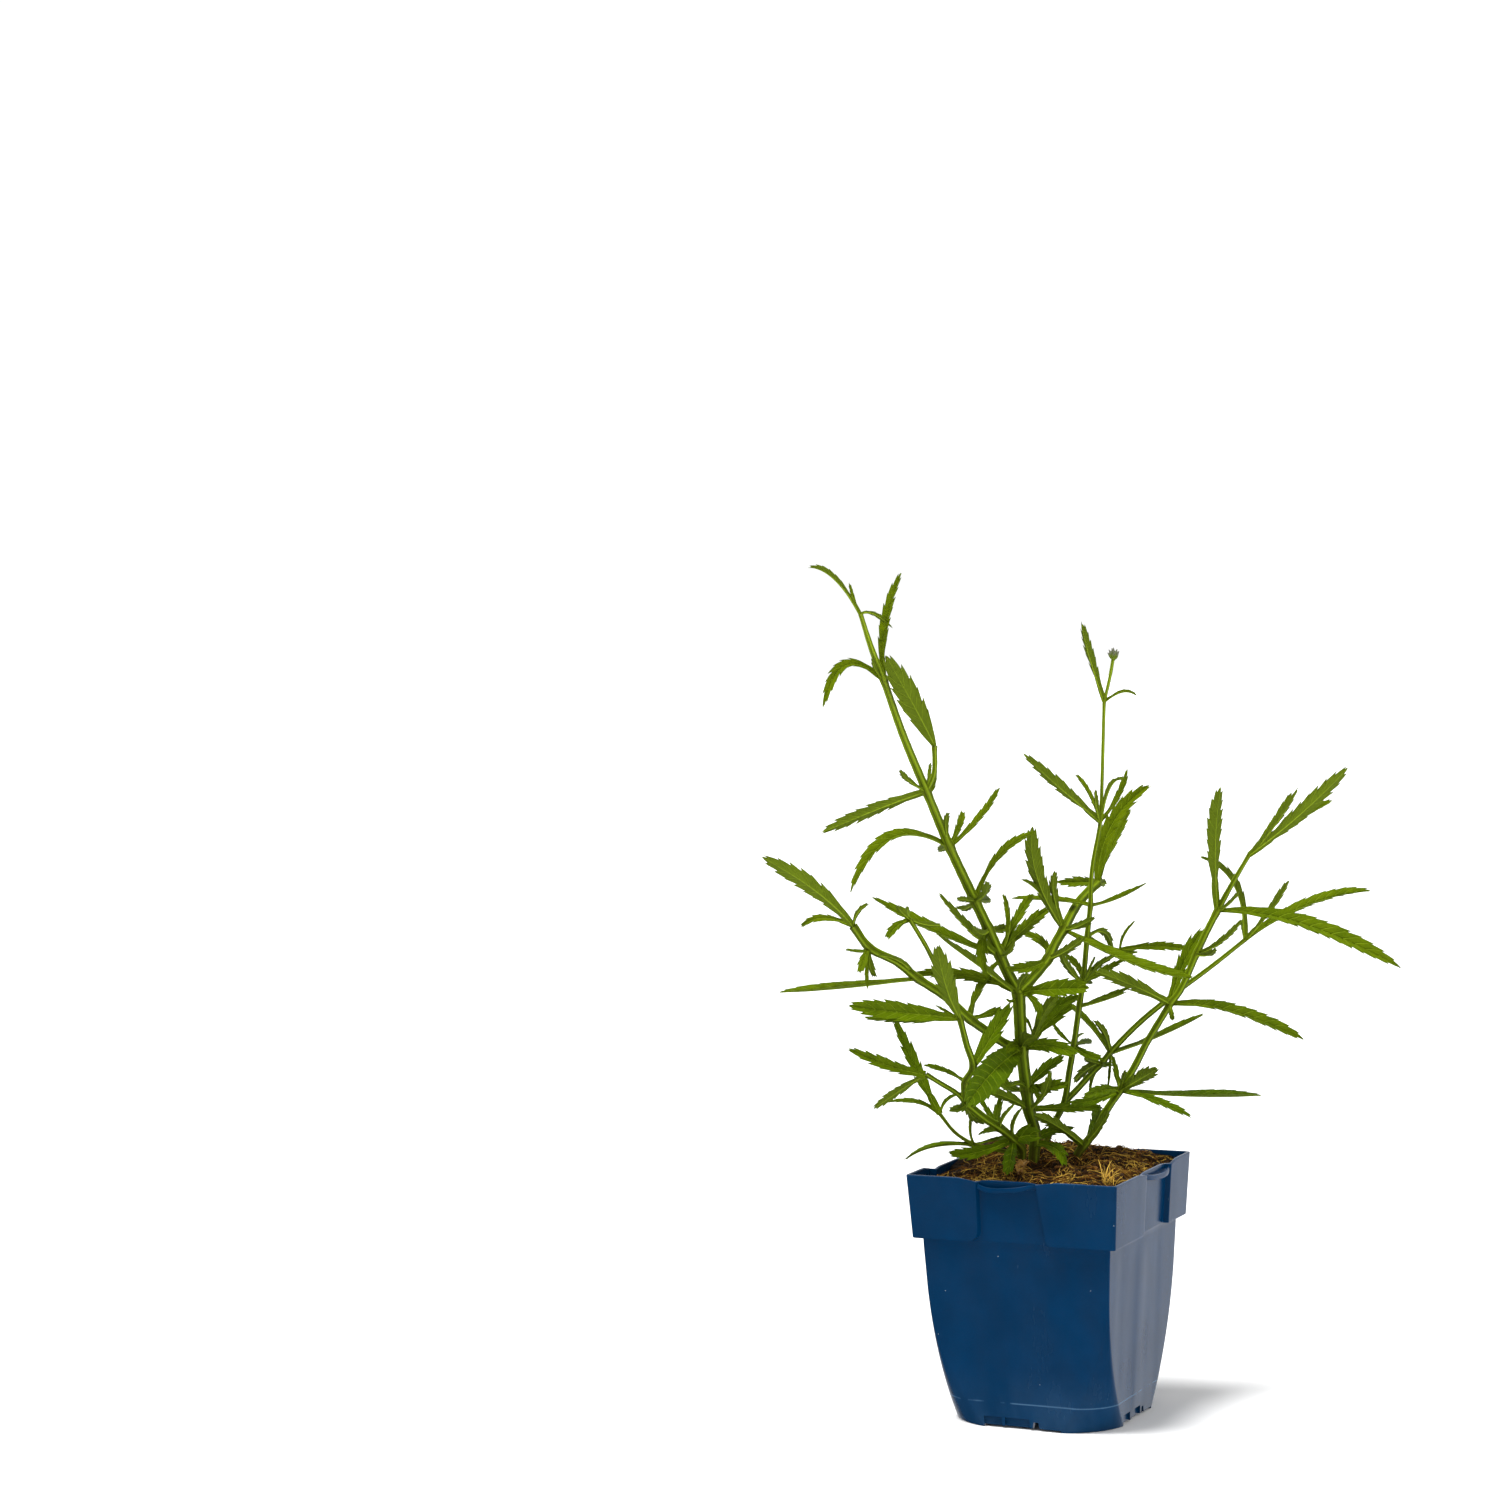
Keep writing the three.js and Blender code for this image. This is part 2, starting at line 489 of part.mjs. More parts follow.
// A crescent lip at the top of a bay, which falls outwards from the rim.
function lip({ start, end, lipEnds }) {
  const back = -RIM_HALF + BAY_INSET + LIP_ROOT;
  const top = POT_HEIGHT - LIP_DROP;
  const rings = [];
  for (let step = 0; step <= LIP_STEPS; step++) {
    const share = step / LIP_STEPS;
    const across = 2 * share - 1;
    const ends = THREE.MathUtils.lerp(lipEnds[0], lipEnds[1], share);
    const bulge = ends + LIP_BULGE * (1 - Math.abs(across) ** LIP_FULLNESS);
    const x = THREE.MathUtils.lerp(start[1] + LIP_MARGIN, end[1] - LIP_MARGIN, share);
    const front = back - LIP_ROOT - bulge;
    const drop = bulge * LIP_FALL;
    rings.push([
      new THREE.Vector3(x, back, top),
      new THREE.Vector3(x, front, top - drop),
      new THREE.Vector3(x, front, top - drop - LIP_THICKNESS),
      new THREE.Vector3(x, back, top - drop - LIP_THICKNESS),
    ]);
  }
  return loft(rings);
}

function quarterTurns(solid) {
  return wasm.Manifold.union([0, 90, 180, 270].map((angle) => solid.rotate([0, 0, angle])));
}

function pot() {
  const levels = [0, FLOOR_UNDERSIDE, ...BODY_LEVELS, BODY_HEIGHT + WALL / 2];
  const body = loft(levels.map((z) => bodyRing(z, 0)));
  const collar = loft([collarRing(BODY_HEIGHT, 0), collarRing(POT_HEIGHT, 0)]);
  const floorTop = FLOOR_UNDERSIDE + FLOOR_THICKNESS;
  const insideLevels = [floorTop, ...BODY_LEVELS, BODY_HEIGHT + 2 * WALL];
  const inside = loft(insideLevels.map((z) => bodyRing(z, WALL)));
  const collarInside = loft([collarRing(BODY_HEIGHT + WALL, WALL), collarRing(POT_HEIGHT + 1, WALL)]);
  const underside = loft([bodyRing(-1, FOOT_WALL), bodyRing(FLOOR_UNDERSIDE, FOOT_WALL)]);
  const hub = upright(HUB_RADIUS, 0, floorTop - FLOOR_THICKNESS / 2, 0, 0, HUB_SIDES);
  const notchShape = [
    [NOTCH_NEAR, -1],
    [NOTCH_FAR, -1],
    [NOTCH_FAR - NOTCH_TAPER, NOTCH_HEIGHT],
    [NOTCH_NEAR + NOTCH_TAPER, NOTCH_HEIGHT],
  ];
  const outer = BODY_BASE_HALF + 2;
  const inner = BODY_BASE_HALF - FOOT_WALL - 1;
  const notch = loft([
    notchShape.map(([x, z]) => new THREE.Vector3(x, -inner, z)),
    notchShape.map(([x, z]) => new THREE.Vector3(x, -outer, z)),
  ]);
  const rebateFace = -BODY_BASE_HALF + REBATE_DEPTH;
  const rebates = REBATES.map(([from, to]) => box([from, -outer, -1], [to, rebateFace, REBATE_HEIGHT]));
  const arch = box([-FOOT_ARCH_HALF, -outer, -1], [FOOT_ARCH_HALF, -inner, FOOT_ARCH_HEIGHT]);
  const cuts = quarterTurns(wasm.Manifold.union([notch, arch, ...rebates]));
  const below = FLOOR_UNDERSIDE - 1;
  const drain = upright(DRAIN_RADIUS, below, floorTop + 1, DRAIN_CIRCLE, DRAIN_CIRCLE, DRAIN_SIDES);
  const lips = wasm.Manifold.union(
    [0, 1, 2, 3].map((quarter) => lip(BAYS[quarter % 2]).rotate([0, 0, 90 * quarter])),
  );
  return body
    .add(collar)
    .subtract(inside)
    .subtract(collarInside)
    .subtract(underside)
    .add(hub)
    .add(lips)
    .subtract(cuts)
    .subtract(quarterTurns(drain));
}

// Height of the soil at a point, and how near the wall it is from 0 in the middle to 1. The soil is heaped
// up to the rim along the back and most of the left.
function soilHeight(x, y, nearness) {
  const heap = SOIL_HEAP * THREE.MathUtils.smoothstep(y - HEAP_SLANT * x, HEAP_FROM, HEAP_TO);
  const mound = SOIL_MOUND * (1 - nearness ** 2) + heap;
  const crumbs = Math.sin(x * 0.43 + 1.1) * Math.cos(y * 0.37 - 0.6) + Math.sin(x * 0.19 - y * 0.23);
  return SOIL_EDGE + mound + SOIL_CRUMB * crumbs * (1 - 0.6 * nearness);
}

function soil(feet) {
  const shoulder = BODY_HEIGHT + WALL + CLEARANCE;
  const bottom = FLOOR_UNDERSIDE + FLOOR_THICKNESS + CLEARANCE;
  const levels = [bottom, ...BODY_LEVELS, shoulder + CLEARANCE];
  const lower = loft(levels.map((z) => bodyRing(z, WALL + CLEARANCE)));
  const outline = collarRing(SOIL_EDGE, WALL + CLEARANCE);
  const top = SOIL_RINGS.map((nearness) =>
    outline.map((v) => {
      const x = v.x * nearness;
      const y = v.y * nearness;
      return new THREE.Vector3(x, y, soilHeight(x, y, nearness));
    }),
  );
  const upper = loft([collarRing(shoulder, WALL + CLEARANCE), ...top]);
  const low = FOOT_DEPTH - HOLE_MARGIN;
  const high = POT_HEIGHT + SOIL_MOUND;
  const holes = feet.map(({ point, radius }) =>
    upright(radius + HOLE_MARGIN, low, high, point.x, point.y, HOLE_SIDES),
  );
  return lower.add(upper).subtract(wasm.Manifold.union(holes));
}

// A square stem swept through its points, with its corners to the front, back and sides.
function sweep(points, widths) {
  const curve = new THREE.CatmullRomCurve3(points, false, "centripetal");
  const stations = [];
  const spans = points.length - 1;
  for (let i = 0; i < spans; i++) {
    const steps = Math.max(1, Math.round(points[i].distanceTo(points[i + 1]) / STEM_STEP));
    for (let step = 0; step < steps; step++) stations.push((i + step / steps) / spans);
  }
  stations.push(1);
  let side = new THREE.Vector3(1, 0, 0);
  const rings = stations.map((t) => {
    const along = curve.getTangent(t);
    side = side.clone().addScaledVector(along, -side.dot(along)).normalize();
    const across = along.clone().cross(side);
    const radius = THREE.MathUtils.lerp(widths[0], widths[1], t) / Math.SQRT2;
    const centre = curve.getPoint(t);
    return [0, 1, 2, 3].map((corner) => {
      const angle = (corner * Math.PI) / 2 + Math.PI / 4;
      return centre
        .clone()
        .addScaledVector(side, radius * Math.cos(angle))
        .addScaledVector(across, radius * Math.sin(angle));
    });
  });
  return loft(rings);
}

// The blade's upper face: turned so that the viewer sees the width asked for, and as far up as that allows.
function bladeNormal(along, view, share) {
  const level = view.clone().cross(along).normalize();
  const rise = along.clone().cross(level).normalize();
  const turn = Math.sqrt(1 - share * share);
  const choices = [1, -1].map((way) => {
    const across = level.clone().multiplyScalar(share).addScaledVector(rise, way * turn);
    const normal = across.cross(along).normalize();
    return normal.z < 0 ? normal.negate() : normal;
  });
  return choices[0].z > choices[1].z ? choices[0] : choices[1];
}

// Rings that run over a blade's upper face and back under its lower one, with like triangles on both.
function bladeFrom(rings) {
  const count = rings[0].length;
  const width = count / 2;
  const triangles = [];
  for (let ring = 0; ring + 1 < rings.length; ring++) {
    for (let i = 0; i < count; i++) {
      const a = ring * count + i;
      const b = ring * count + ((i + 1) % count);
      const c = b + count;
      const d = a + count;
      const rising = i < width;
      triangles.push(...(rising ? [[a, b, c], [a, c, d]] : [[a, b, d], [b, c, d]]));
    }
  }
  const end = (rings.length - 1) * count;
  for (let i = 0; i + 1 < width; i++) {
    const over = [i, i + 1, count - 2 - i, count - 1 - i];
    const [a, b, c, d] = over;
    triangles.push([a, d, b], [b, d, c]);
    triangles.push([end + a, end + b, end + d], [end + b, end + c, end + d]);
  }
  return solidFrom(rings.flat(), triangles);
}

function blade(root, [middleX, middleZ, tipX, tipZ, tipDepth, seen]) {
  const start = place(root);
  const tip = place([tipX, tipZ, tipDepth]);
  const middle = place([middleX, middleZ, (root[2] + tipDepth) / 2]);
  const bend = middle.clone().multiplyScalar(2).addScaledVector(start, -0.5).addScaledVector(tip, -0.5);
  const midrib = new THREE.QuadraticBezierCurve3(start, bend, tip);
  const broad = Math.min(Math.max(seen * 1.05, SLENDERNESS * midrib.getLength()), Math.max(BROADEST, seen));
  const normal = bladeNormal(midrib.getTangent(0.5), towardsEye(middle), Math.min(seen / broad, 1));
  const stations = seen >= LARGE_FROM ? LARGE_BLADE : seen >= MIDDLE_FROM ? MIDDLE_BLADE : SMALL_BLADE;
  const folded = seen >= LARGE_FROM;
  const rings = [];
  for (const [along, share, tooth] of stations) {
    const centre = midrib.getPoint(along);
    const tangent = midrib.getTangent(along);
    const up = normal.clone().addScaledVector(tangent, -normal.dot(tangent)).normalize();
    const across = tangent.clone().cross(up);
    const half = (share * broad) / 2;
    const lean = tooth * TOOTH_LEAN * midrib.getLength();
    const rise = (half * BLADE_FOLD) / 2;
    const edge = (way) =>
      centre
        .clone()
        .addScaledVector(across, way * half)
        .addScaledVector(up, rise)
        .addScaledVector(tangent, lean);
    const rib = centre.clone().addScaledVector(up, -rise);
    const upper = folded ? [edge(-1), rib, edge(1)] : [edge(-1), edge(1)];
    const lower = upper.map((v) => v.clone().addScaledVector(up, -BLADE_THICKNESS));
    rings.push([...upper, ...lower.reverse()]);
  }
  return bladeFrom(rings);
}

// A tuft of small buds on the tip of the flower stalk.
function buds(at) {
  const centre = place(at);
  const all = [];
  for (let i = 0; i < BUD_COUNT; i++) {
    const angle = i * 2.4;
    const lean = i === 0 ? 0 : 0.35 + 0.25 * (i % 2);
    const bud = new THREE.SphereGeometry(0.5, 5, 4);
    bud.scale(BUD_WIDTH, BUD_LENGTH, BUD_WIDTH);
    bud.translate(0, BUD_LENGTH * 0.4, 0);
    bud.rotateX(Math.PI / 2);
    bud.rotateY(lean);
    bud.rotateZ(angle);
    bud.translate(centre.x, centre.y, centre.z);
    all.push(solidOf(bud));
  }
  return all;
}

function leafyStem({ branches, leaves, buds: budsAt }) {
  const pieces = branches.map(({ width, path, foot }) => {
    const points = path.map(place);
    if (foot) points.unshift(new THREE.Vector3(points[0].x, points[0].y, FOOT_DEPTH));
    return sweep(points, width);
  });
  for (const { from, blades } of leaves) {
    for (const leaf of blades) pieces.push(blade(from, leaf));
  }
  if (budsAt) pieces.push(...buds(budsAt));
  return wasm.Manifold.union(pieces).asOriginal().simplify(SLIVER);
}

const material = (color, roughness) => new THREE.MeshStandardMaterial({ color, roughness, metalness: 0 });
const navyPlastic = material(0x163a63, 0.35);
const darkSoil = material(0x3a2616, 0.95);
const stemGreen = material(0x6d8f1e, 0.6);
const deepGreen = material(0x4f7418, 0.6);
const witheredTan = material(0xa87f4a, 0.85);

const rooted = Object.values(LEAFY_STEMS).flatMap(({ branches }) => branches.filter(({ foot }) => foot));
const feet = rooted.map(({ width, path }) => ({ point: place(path[0]), radius: width[0] / Math.SQRT2 }));

const pottedVerbena = new THREE.Group();
pottedVerbena.name = "potted_lollipop_verbena";
pottedVerbena.add(meshOf("pot", pot(), navyPlastic));
pottedVerbena.add(meshOf("soil", soil(feet), darkSoil));
for (const [name, stem] of Object.entries(LEAFY_STEMS)) {
  pottedVerbena.add(meshOf(name, leafyStem(stem), name === "leafy_stem_left" ? deepGreen : stemGreen));
}
pottedVerbena.add(meshOf("withered_leaf", blade(WITHERED_LEAF.from, WITHERED_LEAF.blade), witheredTan));

export default pottedVerbena;
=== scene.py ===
"""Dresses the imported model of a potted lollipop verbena: its square pot, coir soil and leafy stems."""
import math
import random

import bmesh
import bpy
import numpy as np
from bpy.props import FloatProperty, FloatVectorProperty, IntProperty, PointerProperty
from mathutils import Matrix, Vector, noise


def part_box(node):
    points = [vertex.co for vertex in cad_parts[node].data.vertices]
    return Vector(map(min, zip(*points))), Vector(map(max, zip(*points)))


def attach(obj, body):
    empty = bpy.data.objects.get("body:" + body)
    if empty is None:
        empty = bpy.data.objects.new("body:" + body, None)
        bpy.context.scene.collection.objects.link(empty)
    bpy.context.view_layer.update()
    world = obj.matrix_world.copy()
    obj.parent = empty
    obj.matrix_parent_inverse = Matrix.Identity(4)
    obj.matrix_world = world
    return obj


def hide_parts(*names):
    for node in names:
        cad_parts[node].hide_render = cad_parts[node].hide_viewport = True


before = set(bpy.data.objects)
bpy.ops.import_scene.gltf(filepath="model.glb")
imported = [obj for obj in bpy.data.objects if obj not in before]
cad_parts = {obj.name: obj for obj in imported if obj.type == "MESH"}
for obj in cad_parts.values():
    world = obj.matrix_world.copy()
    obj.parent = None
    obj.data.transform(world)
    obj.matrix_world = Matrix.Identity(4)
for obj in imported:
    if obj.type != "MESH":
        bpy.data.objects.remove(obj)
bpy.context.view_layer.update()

bl_info = {
    "name": "Potted lollipop verbena",
    "version": (1, 0, 0),
    "blender": (4, 5, 0),
    "location": "3D View > Sidebar > Verbena",
    "description": "Builds a young lollipop verbena in a square nursery pot, on a pale studio floor",
    "category": "Add Mesh",
}

POT_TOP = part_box("pot")[1]
ROOT = "root"
MM = 0.001
QUARTER_TURN = math.pi / 2

# Fixed proportions of the pot, in millimetres: the collar, and the body with its rounded corners
COLLAR_HEIGHT = 31.8
COLLAR_DRAFT = 2
COLLAR_CORNER = 1.5
BODY_TOP_HALF = 49
BODY_BASE_HALF = 43.8
CORNER_TOP_REACH = 48.2
CORNER_BASE_REACH = 20
CORNER_CURVE = 2.5
CORNER_ROUNDNESS = 0.7
CORNER_LEAST = 0.5
CREASE = 0.9
ARC_STEPS = 10
FACE_STEPS = 4

# Bays and lips: how deep a bay is, and the shape of the bead that stands out over it
BAY_INSET = 2.8
BAY_SLOPE = 0.8
BAY_STEPS = 17
LIP_MARGIN = 0.6
LIP_BULGE = 1.65
LIP_FALL = 1.45
LIP_THICKNESS = 2
LIP_DROP = 0.4
LIP_FULLNESS = 3
LIP_ROOT = 0.5
LIP_STEPS = 28

# How the rim dips over the bays, and most beside their ends
DIP_HEIGHT = 7
DIP_SPREAD = 1.5
DIP_REACH = 4
DIP_BESIDE = 0.9

# Broad, shallow flutes down each side of the body: where each starts and ends, and how far it draws the side
# in from there on
FLUTES = ((-38, -29, 0.22), (-12, -4, -0.3), (0, 9, 0.25), (21, 30, -0.2))
FLUTE_FADE = 14
FLUTE_END = 6

# The floor and the foot. A notch is where it starts and ends, its taper and its height, the arch is half its
# width and its height, and a rebate is where it starts and ends.
FLOOR_UNDERSIDE = 5
FLOOR_THICKNESS = 1.6
FOOT_WALL = 2.6
HUB_RADIUS = 4.5
NOTCH = (5, 9.5, 1, 4.2)
FOOT_CUT = (-48, -39)
FOOT_ARCH = (20.5, 1.2)
REBATES = ((-20.5, -10.4), (-9.4, 4.2))
REBATE_HEIGHT = 5.5
REBATE_DEPTH = 1.2
DRAIN_RADIUS = 3
DRAIN_CIRCLE = 27

# The bays of the right side and the front, which the left side and the back repeat: where each starts and
# ends along its side, at the collar's foot and at the rim, the rounding of the collar's lower corner beside
# both ends, and how far the lip stands out at both ends
BAYS = (
    ((-10.8, -10.4), (25, 25.4), (1, 1.4), (0.4, 2)),
    ((-17.8, -17.8), (17.8, 13.2), (6, 1.4), (2, 0.4)),
)

# Fixed proportions of the soil, in millimetres: the mound, its unevenness, the heap along the back and left
# edges, how far from the axis a fibre or crumb may lie, beside a bay and elsewhere, and how deep stems reach
SOIL_EDGE = 119.6
SOIL_HALF = 52
SOIL_MOUND = 6.6
SOIL_CRUMB = 0.55
SOIL_ROUGH = 1.4
SOIL_LUMP = 2.8
SOIL_HEAP = 5.2
HEAP_SLANT = 0.6
HEAP_FROM = 12
HEAP_TO = 42
SOIL_GAP = 0.1
SOIL_RINGS = 60
BAY_HALF = 17.5
CLEAR_OF_BAY = 49.6
CLEAR_OF_WALL = 52.3
FIBRE_STEPS = 9
FOOT_DEPTH = 112

# Hollows in the soil: x, y, radius and depth
HOLLOWS = (
    (15, 2, 5, 4), (-7, -40, 8, 5.5), (14, -30, 6, 3.5), (-48, -46, 9, 5), (-3, -12, 6, 3), (34, 14, 6, 2.5),
)

# Tufts of upright fibres: x, y, number and height
TUFTS = ((42, -31, 30, 14), (-2, 44, 9, 6), (24, -34, 7, 4), (44, 30, 6, 4))

# The plant is described as a viewer sees it: x to the right and z up, on the upright plane through the
# pot's axis that faces the viewer, and a depth away from the viewer, along the line of sight.
EYE_DISTANCE = 1743
EYE_HEIGHT = 418
VIEW_TURN = math.radians(21.28)

# The camera: how it stands about a mark on the pot's axis, in metres, and how it is turned from there
CAMERA_MARK = 0.12492
CAMERA_DISTANCE = 1.76775
CAMERA_ELEVATION = math.radians(9.55)
CAMERA_YAW = math.radians(26.06)
CAMERA_PITCH = math.radians(-2.75)
CAMERA_ROLL = math.radians(-1.29)

# Stems: the distance between their rings, the points of a ring, how far to both sides a node swells them, and
# the heights over which they turn from dark to green, from green to brown and from green to fresh
STEM_STEP = 1.6
STEM_SIDES = 20
NODE_REACH = 2.8
# The dark and the brown low down are partly painted shade near the soil
STEM_HEIGHTS = ((150, 270), (150, 124), (270, 380))
BUDS = 15
LEAF_SLOT, STEM_SLOT, BUD_SLOT = 0, 1, 2

# Leaves: the blade's outline, as how far along it and its half width there, the columns of points from the
# midrib to the margin, the width in millimetres that most leaves keep within, the least width as a share of
# the length, where the teeth start and end, and the relief
BLADE_OUTLINE = (
    (0, 0.5), (0.1, 0.56), (0.2, 0.65), (0.36, 0.88), (0.5, 1), (0.645, 1), (0.785, 0.87), (0.9, 0.56),
    (1, 0.03),
)
BLADE_COLUMNS = (0, 0.06, 0.16, 0.36, 0.62, 0.86, 1)
BROADEST = 11
SLENDERNESS = 0.135
TOOTHED_FROM = 0.25
TOOTHED_TO = 0.95
BASE_NARROWING = 0.65
QUILTING = 0.011
RIB_GROOVE = 0.16
RIB_RIDGE = 0.5
VEIN_SLANT = 1.15
# The least tone of a leaf, where its painted shade is deepest
DEEPEST_SHADE_TONE = -0.4

# Colours that no setting changes, and the height of the pot's parting line, in metres
DUST = (0.62, 0.68, 0.72, 1)
COIR_BROWN = (0.165, 0.066, 0.010, 1)
SHADED_GREEN = (0.008, 0.024, 0.0005, 1)
MOTTLE_GREEN = (0.02, 0.05, 0.001, 1)
STREAK_GREEN = (0.03, 0.045, 0.001, 1)
# Painted shade in a stem's grooves
GROOVE_SHADE_GREEN = (0.035, 0.05, 0.001, 1)
BUD_TIP = (0.17, 0.16, 0.14, 1)
DRY_VEIN = (0.62, 0.42, 0.19, 1)
PARTING_HEIGHT = 0.0128

